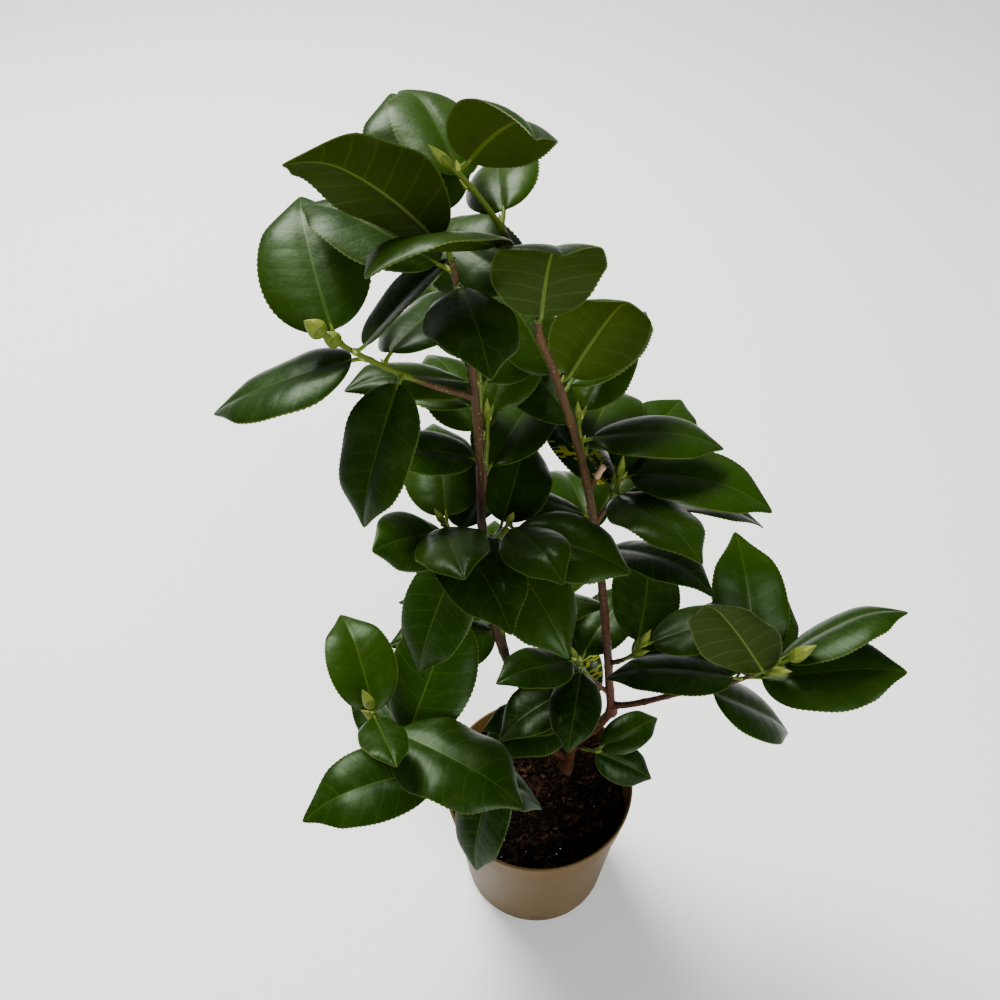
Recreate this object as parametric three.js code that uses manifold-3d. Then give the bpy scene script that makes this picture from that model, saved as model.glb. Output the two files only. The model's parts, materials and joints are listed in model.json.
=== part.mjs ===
// A young camellia in its nursery pot: trunk, boughs, leafy shoots, compost and pot.
// Millimetres, +Z up, +X to the right and -Y to the front. The origin is the middle of the
// pot's flat underside. Headings are degrees round from +X towards +Y, lifts are degrees up
// from level.
import * as THREE from 'three';
import { mergeVertices } from 'three/addons/utils/BufferGeometryUtils.js';
import Module from 'manifold-3d';

const wasm = await Module();
wasm.setup();

// Pot and compost.
const POT_HEIGHT = 130;
const POT_RADIUS = 70;
const POT_FOOT_RADIUS = 56;
const POT_WALL = 1.6;
const POT_FLOOR = 2;
const BAND_HEIGHT = 24;
const BAND_STEP = 1.8;
const SOIL_LEVEL = 118;
const SOIL_LUMP = 1.6;
const POT_FACETS = 64;
const SOIL_FACETS = 40;
const GAP = 0.3;

// Leaves: how far the blade stands off the stem, half its thickness, and how full it is.
const PETIOLE = 6.5;
const PETIOLE_RADIUS = 0.9;
const HALF_THICKNESS = 0.8;
const SPREAD_OF_ROLL = 14;
const TURN_JITTER = 14;
const LIFT_JITTER = 6;
const CLEARANCE = 1.1;

// Limbs: where each starts and ends, the way it leaves and arrives (heading, lift), and its
// radius at both ends. A limb with a parent starts on that limb, at the share told.
const LIMBS = [
  { name: 'trunk', start: [22, 17, SOIL_LEVEL + GAP], end: [24, 19, 158],
    leave: [60, 78], arrive: [60, 80], radii: [5.0, 4.2] },
  { name: 'left_bough', parent: 'trunk', at: 1, end: [-46, -5, 572],
    leave: [172, 50], arrive: [200, 82], radii: [3.6, 1.9] },
  { name: 'right_bough', parent: 'trunk', at: 0.78, end: [50, 15, 203],
    leave: [20, 35], arrive: [340, 70], radii: [3.6, 3.2] },
  { name: 'tall_bough', parent: 'right_bough', at: 1, end: [-11, -5, 556],
    leave: [150, 82], arrive: [200, 70], radii: [3.1, 1.9] },
  { name: 'side_bough', parent: 'tall_bough', at: 0.02, end: [102, -2, 258],
    leave: [330, 38], arrive: [340, 38], radii: [2.4, 1.8] },
  { name: 'low_bough', parent: 'trunk', at: 0.3, end: [-62, -38, 216],
    leave: [195, 55], arrive: [215, 22], radii: [2.6, 1.9] },
];

// Shoots: each is one leafy mass on a limb. first is the share of its stem below the first
// leaf, phase the heading of that leaf and step the turn from leaf to leaf. lift and curl run
// from the lowest leaf to the top one. lean draws the leaves to the back, light turns their
// faces up. poses are the leaves that have found their own way to the light: heading, lift,
// length, the heading and lift of the way the face looks, and curl. fallen are the places
// whose leaf has dropped, and buds are the places with a flower bud. tip is the length and
// radius of the end bud.
const SHOOTS = [
  { name: 'tall_head', limb: 'tall_bough', at: 1, leave: [205, 84], arrive: [195, 50], length: 100,
    leaves: 8, phase: 285, step: -144, size: 66, lift: [58, 38], curl: [25, 50], first: 0.1,
    light: 0, lean: 0.35, tip: [14, 2.4],
    poses: { 0: [124, 76, 76, 80, 5, 52], 1: [140, 4, 72, 290, 62], 2: [150, 12, 62],
      3: [211, 36, 72, 90, 50], 4: [98, 14, 62], 5: [112, 16, 62, 100, 30, 35], 6: [112, 25, 62],
      7: [320, 54, 64, 70, 20] } },
  { name: 'left_head', limb: 'left_bough', at: 1, leave: [205, 82], arrive: [186, 78], length: 44,
    leaves: 6, phase: 96, step: -144, size: 72, lift: [20, 62], curl: [10, 30], first: 0.06,
    light: 0, lean: 0.3, tip: [14, 2.4],
    poses: { 1: [300, 12, 60], 2: [150, 16, 70], 3: [66, 50, 80], 4: [150, 62, 80, 75, 0, 50],
      5: [116, 33, 66] } },
  { name: 'left_shoot', limb: 'left_bough', at: 0.87, leave: [202, 32], arrive: [200, 50], length: 87,
    leaves: 6, phase: 262, step: 144, size: 78, lift: [-30, 30], curl: [5, 25], first: 0.45,
    light: 0.8, lean: 0, fallen: [5], buds: [3, 4], tip: [12, 5],
    poses: { 0: [245, -40, 68], 2: [184, -16, 72], 3: [30, 30, 55], 4: [112, 28, 78] } },
  { name: 'upper_shoot', limb: 'tall_bough', at: 0.82, leave: [130, 50], arrive: [120, 80], length: 22,
    leaves: 6, phase: 196, step: -144, size: 68, lift: [20, 66], curl: [10, 40], first: 0.3,
    light: 0, lean: 0.3, tip: [12, 2.2],
    poses: { 1: [58, 14, 72], 4: [12, 64, 74, 90, 0, 50], 5: [200, 30, 60] } },
  { name: 'middle_shoot', limb: 'tall_bough', at: 0.58, leave: [20, 55], arrive: [60, 80], length: 30,
    leaves: 7, phase: 203, step: 144, size: 76, lift: [10, 35], curl: [15, 40], first: 0.25,
    light: 0.6, lean: 0.15, buds: [4], tip: [15, 2.6],
    poses: { 6: [347, 20, 76] } },
  { name: 'middle_back', limb: 'tall_bough', at: 0.4, leave: [100, 40], arrive: [120, 75], length: 42,
    leaves: 6, phase: 186, step: 144, size: 74, lift: [15, 35], curl: [15, 40], first: 0.25,
    light: 0.6, lean: 0.15, tip: [14, 2.4], poses: {} },
  { name: 'left_middle', limb: 'left_bough', at: 0.57, leave: [200, 45], arrive: [190, 70], length: 36,
    leaves: 6, phase: 235, step: 144, size: 78, lift: [-15, 30], curl: [10, 35], first: 0.25,
    light: 0.6, lean: 0.15, tip: [14, 2.4],
    poses: { 0: [240, -38, 76], 2: [228, 40, 60] } },
  { name: 'left_back', limb: 'left_bough', at: 0.68, leave: [80, 40], arrive: [90, 75], length: 42,
    leaves: 6, phase: 60, step: 144, size: 74, lift: [15, 40], curl: [15, 40], first: 0.25,
    light: 0.6, lean: 0.15, tip: [14, 2.4], poses: { 1: [178, 20, 64] } },
  { name: 'lower_shoot', limb: 'tall_bough', at: 0.16, leave: [330, 45], arrive: [0, 75], length: 34,
    leaves: 6, phase: 0, step: 144, size: 74, lift: [10, 30], curl: [10, 35], first: 0.25,
    light: 0.6, lean: 0.15, fallen: [2, 4], buds: [2], tip: [18, 3.2], poses: {} },
  { name: 'centre_shoot', limb: 'right_bough', at: 0.62, leave: [215, 40], arrive: [210, 60], length: 38,
    leaves: 6, phase: 155, step: 144, size: 62, lift: [10, 25], curl: [15, 40], first: 0.25,
    light: 0.6, lean: 0.15, fallen: [1], tip: [12, 2.2], poses: {} },
  { name: 'side_shoot', limb: 'side_bough', at: 1, leave: [340, 42], arrive: [345, 58], length: 76,
    leaves: 11, phase: 330, step: 144, size: 68, lift: [8, 40], curl: [5, 30], first: 0.04,
    light: 0.4, lean: 0.15, fallen: [2], buds: [7], tip: [24, 5],
    poses: { 0: [0, -30, 74], 1: [70, 10, 70], 4: [160, 14, 80], 5: [352, 24, 86],
      6: [100, 52, 82, 270, 40], 7: [140, 46, 82, 80, 0, 45], 8: [16, 36, 80, 80, 55] } },
  { name: 'low_shoot', limb: 'low_bough', at: 1, leave: [205, 50], arrive: [150, 72], length: 100,
    leaves: 9, phase: 203, step: 144, size: 76, lift: [0, 40], curl: [10, 35], first: 0.04,
    light: 0.6, lean: 0.15, fallen: [3, 5], buds: [7], tip: [18, 4],
    poses: { 0: [196, 20, 88], 1: [0, -16, 76], 4: [62, 42, 90], 6: [350, 6, 90],
      7: [105, 36, 66], 8: [292, 28, 46] } },
  { name: 'low_back', limb: 'left_bough', at: 0.25, leave: [110, 40], arrive: [90, 65], length: 46,
    leaves: 6, phase: 100, step: 144, size: 70, lift: [10, 35], curl: [15, 40], first: 0.25,
    light: 0.6, lean: 0.15, tip: [14, 2.4], poses: {} },
  { name: 'centre_back', limb: 'tall_bough', at: 0.06, leave: [175, 45], arrive: [160, 70], length: 40,
    leaves: 6, phase: 190, step: 144, size: 66, lift: [5, 30], curl: [15, 40], first: 0.3,
    light: 0.6, lean: 0.1, fallen: [1], tip: [12, 2.2], poses: {} },
  { name: 'upper_back', limb: 'tall_bough', at: 0.68, leave: [105, 45], arrive: [110, 75], length: 32,
    leaves: 6, phase: 60, step: 144, size: 70, lift: [5, 35], curl: [15, 40], first: 0.3,
    light: 0.6, lean: 0.15, tip: [12, 2.2], poses: {} },
  { name: 'high_back', limb: 'left_bough', at: 0.79, leave: [85, 42], arrive: [100, 72], length: 36,
    leaves: 6, phase: 130, step: 144, size: 66, lift: [5, 40], curl: [15, 40], first: 0.3,
    light: 0.6, lean: 0.1, tip: [12, 2.2], poses: {} },
  { name: 'front_middle', limb: 'left_bough', at: 0.6, leave: [310, 45], arrive: [320, 72], length: 34,
    leaves: 6, phase: 300, step: 144, size: 68, lift: [5, 35], curl: [15, 40], first: 0.3,
    light: 0.6, lean: 0.05, tip: [12, 2.2], poses: {} },
  { name: 'foot_shoot', limb: 'low_bough', at: 0.6, leave: [270, 35], arrive: [240, 40], length: 24,
    leaves: 4, phase: 261, step: 144, size: 62, lift: [-22, 10], curl: [20, 50], first: 0.4,
    light: 0.4, lean: 0, fallen: [3], tip: [10, 2],
    poses: { 0: [238, -36, 76], 2: [308, -40, 52] } },
  { name: 'right_foot', limb: 'trunk', at: 0.86, leave: [320, 25], arrive: [320, 45], length: 20,
    leaves: 4, phase: 335, step: 144, size: 56, lift: [-4, 15], curl: [20, 50], first: 0.5,
    light: 0.6, lean: 0, fallen: [2], tip: [10, 2], poses: {} },
];

// ---- small vector sums on plain arrays of three numbers ----
const add = (a, b) => [a[0] + b[0], a[1] + b[1], a[2] + b[2]];
const sub = (a, b) => [a[0] - b[0], a[1] - b[1], a[2] - b[2]];
const mul = (a, k) => [a[0] * k, a[1] * k, a[2] * k];
const dot = (a, b) => a[0] * b[0] + a[1] * b[1] + a[2] * b[2];
const cross = (a, b) => [
  a[1] * b[2] - a[2] * b[1],
  a[2] * b[0] - a[0] * b[2],
  a[0] * b[1] - a[1] * b[0],
];
const unit = (a) => mul(a, 1 / Math.hypot(...a));
const square = (a, u) => unit(sub(a, mul(u, dot(a, u))));
const radians = (d) => (d * Math.PI) / 180;
const blend = (pair, share) => pair[0] + (pair[1] - pair[0]) * share;

function direction(heading, lift) {
  const h = radians(heading);
  const l = radians(lift);
  return [Math.cos(l) * Math.cos(h), Math.cos(l) * Math.sin(h), Math.sin(l)];
}

// A seeded run of numbers between two ends, the same on every machine.
function seeded(seed) {
  let state = seed;
  const draw = (low, high) => {
    state = (state * 48271) % 2147483647;
    return low + ((high - low) * state) / 2147483647;
  };
  for (let i = 0; i < 3; i += 1) draw(0, 1);
  return draw;
}

// A limb's centre line: one cubic curve that leaves and arrives the way it is told.
function centreLine(start, end, leave, arrive, radii) {
  const third = Math.hypot(...sub(end, start)) / 3;
  const b = add(start, mul(direction(...leave), third));
  const c = sub(end, mul(direction(...arrive), third));
  const at = (t) => {
    const s = 1 - t;
    const near = add(mul(start, s * s * s), mul(b, 3 * s * s * t));
    return add(near, add(mul(c, 3 * s * t * t), mul(end, t * t * t)));
  };
  const tangent = (t) => unit(sub(at(Math.min(1, t + 0.001)), at(Math.max(0, t - 0.001))));
  return { at, tangent, radius: (t) => blend(radii, t) };
}

// The point where a side limb starts, so that its narrow first ring clears the parent.
function startOn(parent, share, leave, radius) {
  const away = direction(...leave);
  const along = parent.tangent(share);
  if (share >= 1) return add(parent.at(1), mul(along, GAP + 0.5 * radius * 0.6));
  const cosine = dot(away, along);
  const sine = Math.sqrt(1 - cosine * cosine);
  const reach = (parent.radius(share) + GAP + 0.1 + 0.5 * radius * Math.abs(cosine)) / sine;
  return add(parent.at(share), mul(away, reach));
}

// ---- closed shells, as points and triangles ----
const shell = (points = [], faces = []) => ({ points, faces });

// A tube of rings with a point at each end. In a paired tube the cells of two neighbouring
// sides share their diagonals, so that the two skins of a thin, bent blade stay apart.
function addRings(rings, closeStart, closeEnd, paired = false) {
  const sides = rings[0].length;
  const out = shell(rings.flat());
  const last = (rings.length - 1) * sides;
  for (let i = 0; i < rings.length - 1; i += 1) {
    for (let j = 0; j < sides; j += 1) {
      const a = i * sides + j;
      const b = i * sides + ((j + 1) % sides);
      if (paired && j % 2 === 1) out.faces.push([a, b, a + sides], [b, b + sides, a + sides]);
      else out.faces.push([a, b, b + sides], [a, b + sides, a + sides]);
    }
  }
  out.points.push(closeStart, closeEnd);
  const tip = out.points.length - 1;
  for (let j = 0; j < sides; j += 1) {
    const k = (j + 1) % sides;
    out.faces.push([k, j, tip - 1], [last + j, last + k, tip]);
  }
  return out;
}

// A tapering round limb along a centre line. swell makes it stouter for the clearance test.
function limbShell(line, sides, shares, radiusAt, swell = 0) {
  const rings = shares.map((t) => {
    const along = line.tangent(t);
    const side = unit(cross(along, [0, 1, 0]));
    const front = cross(along, side);
    const centre = line.at(t);
    return Array.from({ length: sides }, (_, j) => {
      const angle = (2 * Math.PI * j) / sides;
      const r = radiusAt(t, angle) + swell;
      const out = add(mul(side, Math.cos(angle) * r), mul(front, Math.sin(angle) * r));
      return add(centre, out);
    });
  });
  return addRings(rings, line.at(shares[0]), line.at(shares[shares.length - 1]));
}

// A pointed bud of five rings standing on a point.
function budShell(foot, way, length, radius) {
  const side = unit(cross(way, [0.3, 1, 0.1]));
  const front = cross(way, side);
  const profile = [[0, 0.45], [0.2, 0.88], [0.42, 1], [0.68, 0.74], [0.88, 0.32]];
  const rings = profile.map(([share, full]) => Array.from({ length: 7 }, (_, j) => {
    const angle = (2 * Math.PI * j) / 7;
    const out = add(mul(side, Math.cos(angle)), mul(front, Math.sin(angle)));
    return add(add(foot, mul(way, share * length)), mul(out, full * radius));
  }));
  return addRings(rings, foot, add(foot, mul(way, length)));
}

// Half the blade's width at a share of its length, 1 at the fullest: an oval with a drawn tip.
function outline(t) {
  const full = Math.pow(0.5 / 1.12, 0.5) * Math.pow(0.62 / 1.12, 0.62);
  const q = Math.min(1, Math.max(0, (t - 0.76) / 0.24));
  return (Math.pow(t, 0.5) * Math.pow(1 - t, 0.62) * (1 - 0.5 * q * q * (3 - 2 * q))) / full;
}

// A point of the blade's middle surface, share t along it and v across it (-1 to 1): the
// midrib bends on an arc with a hooked tip, and the two halves fold up, cup over and ripple.
function bladePoint(leaf, t, v) {
  const turn = leaf.curl * t;
  const hook = Math.min(1, Math.max(0, (t - 0.65) / 0.35));
  const along = (leaf.length * Math.sin(turn)) / leaf.curl;
  const down = (leaf.length * (1 - Math.cos(turn))) / leaf.curl + leaf.hook * leaf.length * hook * hook;
  let point = add(leaf.base, mul(leaf.way, along));
  point = sub(point, mul(leaf.face, down));
  point = add(point, mul(leaf.side, leaf.sway * leaf.length * t * t));
  const face = add(mul(leaf.way, Math.sin(turn)), mul(leaf.face, Math.cos(turn)));
  const twist = leaf.twist * t;
  const across = add(mul(leaf.side, Math.cos(twist)), mul(face, Math.sin(twist)));
  const up = sub(mul(face, Math.cos(twist)), mul(leaf.side, Math.sin(twist)));
  const half = (leaf.width / 2) * outline(t);
  const ripple = Math.sin(2 * Math.PI * leaf.waves * t + leaf.phase + Math.sign(v) * 1.1);
  const rise = half * (leaf.fold * Math.abs(v) - leaf.cup * v * v)
    + 2 * leaf.wave * half * v * v * ripple;
  return add(add(point, mul(across, v * half)), mul(up, rise));
}

// The way the upper side looks at a share of the midrib, square to its arc and its hook.
function ribUp(leaf, t) {
  const hook = Math.max(0, (t - 0.65) / 0.35);
  const down = Math.sin(leaf.curl * t) + (2 * leaf.hook * hook) / 0.35;
  return unit(add(mul(leaf.way, down), mul(leaf.face, Math.cos(leaf.curl * t))));
}

// A leaf as a closed shell: a thin stalk from inside the stem, then a blade with sharp edges
// that is thickest along the midrib.
function leafShell(leaf, swell = 0) {
  const r = PETIOLE_RADIUS + swell;
  const ringAt = (centre, left, right, up) => [left, add(centre, up), right, sub(centre, up)];
  const stalk = (p) => {
    const across = mul(leaf.side, r);
    return ringAt(p, sub(p, across), add(p, across), mul(leaf.face, r));
  };
  const rings = [stalk(leaf.root), stalk(leaf.base)];
  for (const t of [0.12, 0.34, 0.6, 0.84]) {
    const reach = 1 + swell / (0.5 * leaf.width * outline(t));
    const left = bladePoint(leaf, t, -1);
    const right = bladePoint(leaf, t, 1);
    const centre = bladePoint(leaf, t, 0);
    const out = (p) => add(centre, mul(sub(p, centre), reach));
    rings.push(ringAt(centre, out(left), out(right), mul(ribUp(leaf, t), HALF_THICKNESS + swell)));
  }
  const tip = bladePoint(leaf, 1, 0);
  const end = add(tip, mul(unit(sub(tip, bladePoint(leaf, 0.84, 0))), swell));
  return addRings(rings, leaf.root, end, true);
}

// ---- clearance: does an edge of one shell pierce a triangle of the other ----
const corners = ({ points, faces }) => faces.map((f) => f.map((i) => points[i]));

function bounds(triangles) {
  const low = [Infinity, Infinity, Infinity];
  const high = [-Infinity, -Infinity, -Infinity];
  for (const triangle of triangles) {
    for (const p of triangle) {
      for (let k = 0; k < 3; k += 1) {
        low[k] = Math.min(low[k], p[k]);
        high[k] = Math.max(high[k], p[k]);
      }
    }
  }
  return { low, high };
}

const apart = (a, b) => [0, 1, 2].some((k) => a.low[k] > b.high[k] || b.low[k] > a.high[k]);

function pierces(from, to, [a, b, c]) {
  const d = sub(to, from);
  const e1 = sub(b, a);
  const e2 = sub(c, a);
  const h = cross(d, e2);
  const det = dot(e1, h);
  if (Math.abs(det) < 1e-9) return false;
  const s = sub(from, a);
  const u = dot(s, h) / det;
  const q = cross(s, e1);
  const v = dot(d, q) / det;
  const w = dot(e2, q) / det;
  return u >= 0 && v >= 0 && u + v <= 1 && w >= 0 && w <= 1;
}

function crosses(some, others) {
  const box = bounds(some);
  for (const other of others) {
    if (apart(box, other.box)) continue;
    for (const one of some) {
      const oneBox = bounds([one]);
      for (const two of other.triangles) {
        if (apart(oneBox, bounds([two]))) continue;
        for (let k = 0; k < 3; k += 1) {
          if (pierces(one[k], one[(k + 1) % 3], two)) return true;
          if (pierces(two[k], two[(k + 1) % 3], one)) return true;
        }
      }
    }
  }
  return false;
}

// The triangles of a leaf shell past its stalk.
function bladeOnly({ points, faces }) {
  const start = points.length - 2;
  const past = faces.filter((f) => f.every((i) => i > 3 && i !== start));
  return corners({ points, faces: past });
}

const placed = (triangles) => ({ triangles, box: bounds(triangles) });

// Whether every point stays out of the compost, off the rim and above the ground.
function clearOfPot(points) {
  return points.every(([x, y, z]) => {
    const r = Math.hypot(x, y);
    const overSoil = z < SOIL_LEVEL + 5 && r < POT_RADIUS + 4;
    const onRim = z < POT_HEIGHT + 3 && r > POT_RADIUS - 6 && r < POT_RADIUS + 4;
    return !overSoil && !onRim && z > 3;
  });
}

// ---- growing the plant ----
const limbs = {};
for (const spec of LIMBS) {
  const parent = limbs[spec.parent];
  const start = parent ? startOn(parent, spec.at, spec.leave, spec.radii[0]) : spec.start;
  limbs[spec.name] = centreLine(start, spec.end, spec.leave, spec.arrive, spec.radii);
}

const stems = {};
for (const spec of SHOOTS) {
  const limb = limbs[spec.limb];
  const radius = Math.min(1.7, 0.9 * limb.radius(spec.at));
  const start = startOn(limb, spec.at, spec.leave, radius);
  const way = unit(add(direction(...spec.leave), direction(...spec.arrive)));
  const end = add(start, mul(way, spec.length));
  stems[spec.name] = centreLine(start, end, spec.leave, spec.arrive, [radius, 1]);
}

const even = (count) => Array.from({ length: count + 1 }, (_, i) => i / count);
const narrowFoot = (count) => [0, 0.35 / count, ...even(count).slice(1)];
const footed = (line) => (t) => line.radius(t) * (t === 0 ? 0.5 : 1);

// What a new leaf keeps clear of: limbs, stems and end buds, then every leaf before it.
const woody = [];
for (const line of [...Object.values(limbs), ...Object.values(stems)]) {
  const stout = limbShell(line, 6, even(12), (t) => line.radius(t), 0.9);
  woody.push(placed(corners(stout)));
}
const endBuds = {};
for (const spec of SHOOTS) {
  const stem = stems[spec.name];
  endBuds[spec.name] = budShell(stem.at(0.985), stem.tangent(1), ...spec.tip);
  woody.push(placed(corners(endBuds[spec.name])));
}
const leafy = [];

// One leaf on a stem: its stalk leaves sideways, its blade goes the way of its turn and lift,
// or the way of its pose.
function makeLeaf(spec, stem, share, turn, lift, nudge, habit, pose) {
  const axis = unit(add(mul(stem.tangent(share), 0.35), [0, 0, 0.65]));
  const east = square([1, 0, 0], axis);
  const north = cross(axis, east);
  const angle = radians(turn + nudge[0]);
  const out = add(mul(east, Math.cos(angle)), mul(north, Math.sin(angle)));
  const rise = radians(lift + nudge[1]);
  let way = add(mul(out, Math.cos(rise)), mul(axis, Math.sin(rise)));
  way = unit(add(way, [0, spec.lean, 0]));
  if (pose) way = direction(pose[0] + nudge[0], pose[1] + nudge[1]);
  let face = sub(axis, mul(out, 0.5));
  if (pose && pose.length > 3) face = direction(pose[3], pose[4]);
  face = square(face, way);
  const sky = sub([0, 0, 1], mul(way, way[2]));
  if (!pose || pose.length <= 3) face = square(add(face, mul(sky, spec.light)), way);
  const flat = cross(way, face);
  const roll = radians(habit.roll);
  const root = stem.at(share);
  const foot = unit(add(out, mul(axis, 0.5)));
  return {
    ...habit,
    way,
    face: add(mul(face, Math.cos(roll)), mul(flat, Math.sin(roll))),
    side: sub(mul(flat, Math.cos(roll)), mul(face, Math.sin(roll))),
    root,
    base: add(add(root, mul(foot, stem.radius(share) + PETIOLE * 0.6)), mul(way, PETIOLE * 0.4)),
  };
}

const NUDGES = [[0, 0], [10, 4], [-10, 4], [10, -6], [-10, -6], [22, 8], [-22, 8], [22, -12],
  [-22, -12], [0, 18], [0, -18], [38, 6], [-38, 6]];

function growShoot(spec, index) {
  const stem = stems[spec.name];
  const draw = seeded(1000 + 37 * index);
  const parts = [limbShell(stem, 6, narrowFoot(6), footed(stem))];
  parts.push(endBuds[spec.name]);
  for (let k = 0; k < spec.leaves; k += 1) {
    const rank = k / (spec.leaves - 1);
    const share = spec.first + (0.96 - spec.first) * Math.pow(rank, 0.85);
    const turn = spec.phase + spec.step * k + draw(-TURN_JITTER, TURN_JITTER);
    const lift = blend(spec.lift, rank) + draw(-LIFT_JITTER, LIFT_JITTER);
    const young = k === spec.leaves - 1 ? 0.86 : 1;
    const pose = spec.poses[k];
    const length = spec.size * draw(0.88, 1.06) * young;
    const habit = {
      length: pose && pose.length > 2 ? pose[2] : length,
      roll: draw(-SPREAD_OF_ROLL, SPREAD_OF_ROLL),
      curl: radians(draw(...spec.curl)),
      hook: draw(0.03, 0.14),
      sway: draw(-0.08, 0.08),
      twist: radians(draw(-16, 16)),
      fold: draw(0.12, 0.38),
      cup: draw(0.2, 0.55),
      wave: draw(0, 0.05),
      waves: draw(1.2, 2.2),
      phase: draw(0, 2 * Math.PI),
    };
    habit.width = habit.length * draw(0.56, 0.66);
    if (pose && pose.length > 5) habit.curl = radians(pose[5]);
    if ((spec.fallen || []).includes(k)) continue;
    for (const nudge of NUDGES) {
      const leaf = makeLeaf(spec, stem, share, turn, lift, nudge, habit, pose);
      const stout = leafShell(leaf, CLEARANCE);
      if (!clearOfPot(stout.points.slice(4))) continue;
      if (crosses(bladeOnly(stout), woody)) continue;
      if (crosses(bladeOnly(stout), leafy)) continue;
      const slim = leafShell(leaf);
      leafy.push(placed(bladeOnly(slim)));
      parts.push(slim);
      break;
    }
  }
  for (const k of spec.buds || []) {
    const rank = k / (spec.leaves - 1);
    const share = spec.first + (0.96 - spec.first) * Math.pow(rank, 0.85);
    const heading = spec.phase + spec.step * k + 50;
    const way = unit(add(direction(heading, 30), mul(stem.tangent(share), 0.8)));
    const bud = budShell(stem.at(share), way, 0.9 * spec.tip[0], 0.85 * spec.tip[1]);
    if (crosses(corners(bud), leafy)) continue;
    leafy.push(placed(corners(bud)));
    parts.push(bud);
  }
  return parts;
}

// ---- solids ----
function geometryOf({ points, faces }) {
  const geometry = new THREE.BufferGeometry();
  geometry.setAttribute('position', new THREE.Float32BufferAttribute(points.flat(), 3));
  geometry.setIndex(faces.flat());
  return geometry;
}

function solidOf(geometry) {
  const bare = geometry.clone();
  bare.deleteAttribute('normal');
  bare.deleteAttribute('uv');
  const merged = mergeVertices(bare, 1e-5);
  const mesh = new wasm.Mesh({
    numProp: 3,
    vertProperties: new Float32Array(merged.attributes.position.array),
    triVerts: new Uint32Array(merged.index.array),
  });
  return new wasm.Manifold(mesh);
}

function geometryOfSolid(solid) {
  const mesh = solid.getMesh();
  const geometry = new THREE.BufferGeometry();
  geometry.setAttribute('position', new THREE.Float32BufferAttribute(mesh.vertProperties, 3));
  geometry.setIndex(Array.from(mesh.triVerts));
  return geometry;
}

// Joins shells into one body. The outer skin is kept alone, so a hollow sealed by the joining
// is filled and a loose scrap is dropped.
function fuse(shells) {
  let whole = solidOf(geometryOf(shells[0]));
  for (const next of shells.slice(1)) whole = whole.add(solidOf(geometryOf(next)));
  const pieces = whole.decompose();
  pieces.sort((a, b) => b.volume() - a.volume());
  return geometryOfSolid(pieces[0]);
}

const group = new THREE.Group();
group.name = 'camellia_in_pot';

function addPart(name, geometry, color, roughness) {
  geometry.computeVertexNormals();
  const material = new THREE.MeshStandardMaterial({ color, roughness, metalness: 0 });
  material.name = name;
  const mesh = new THREE.Mesh(geometry, material);
  mesh.name = name;
  group.add(mesh);
}

// ---- pot: turned about its axis, with a foot, a tapering wall and a band round the top ----
const wallRadius = (z) => blend([POT_FOOT_RADIUS, POT_RADIUS - BAND_STEP], z / POT_HEIGHT);
const bandRadius = (z) => wallRadius(z) + BAND_STEP;
const bandFoot = POT_HEIGHT - BAND_HEIGHT;

function turned(profile) {
  const points = profile.map(([r, z]) => new THREE.Vector2(r, z));
  const geometry = new THREE.LatheGeometry(points, POT_FACETS);
  geometry.rotateX(Math.PI / 2);
  return geometry;
}

function potProfile() {
  const inner = (z) => bandRadius(z) - POT_WALL - (z < bandFoot ? BAND_STEP : 0);
  return [
    [0, 0],
    [wallRadius(0) - 2, 0],
    [wallRadius(0) - 0.6, 0.6],
    [wallRadius(2), 2],
    [wallRadius(bandFoot), bandFoot],
    [bandRadius(bandFoot) - 0.4, bandFoot + 0.2],
    [bandRadius(bandFoot), bandFoot + 0.8],
    [bandRadius(POT_HEIGHT - 3), POT_HEIGHT - 3],
    [bandRadius(POT_HEIGHT - 2.6) + 0.6, POT_HEIGHT - 2.4],
    [bandRadius(POT_HEIGHT) + 0.6, POT_HEIGHT - 0.6],
    [bandRadius(POT_HEIGHT), POT_HEIGHT],
    [bandRadius(POT_HEIGHT) - POT_WALL + 0.4, POT_HEIGHT],
    [bandRadius(POT_HEIGHT) - POT_WALL, POT_HEIGHT - 0.6],
    [inner(bandFoot + 3), bandFoot + 3],
    [wallRadius(bandFoot - 1) - POT_WALL, bandFoot - 1],
    [wallRadius(POT_FLOOR + 2) - POT_WALL, POT_FLOOR + 2],
    [wallRadius(POT_FLOOR) - POT_WALL - 2, POT_FLOOR],
    [0, POT_FLOOR],
  ];
}

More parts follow.
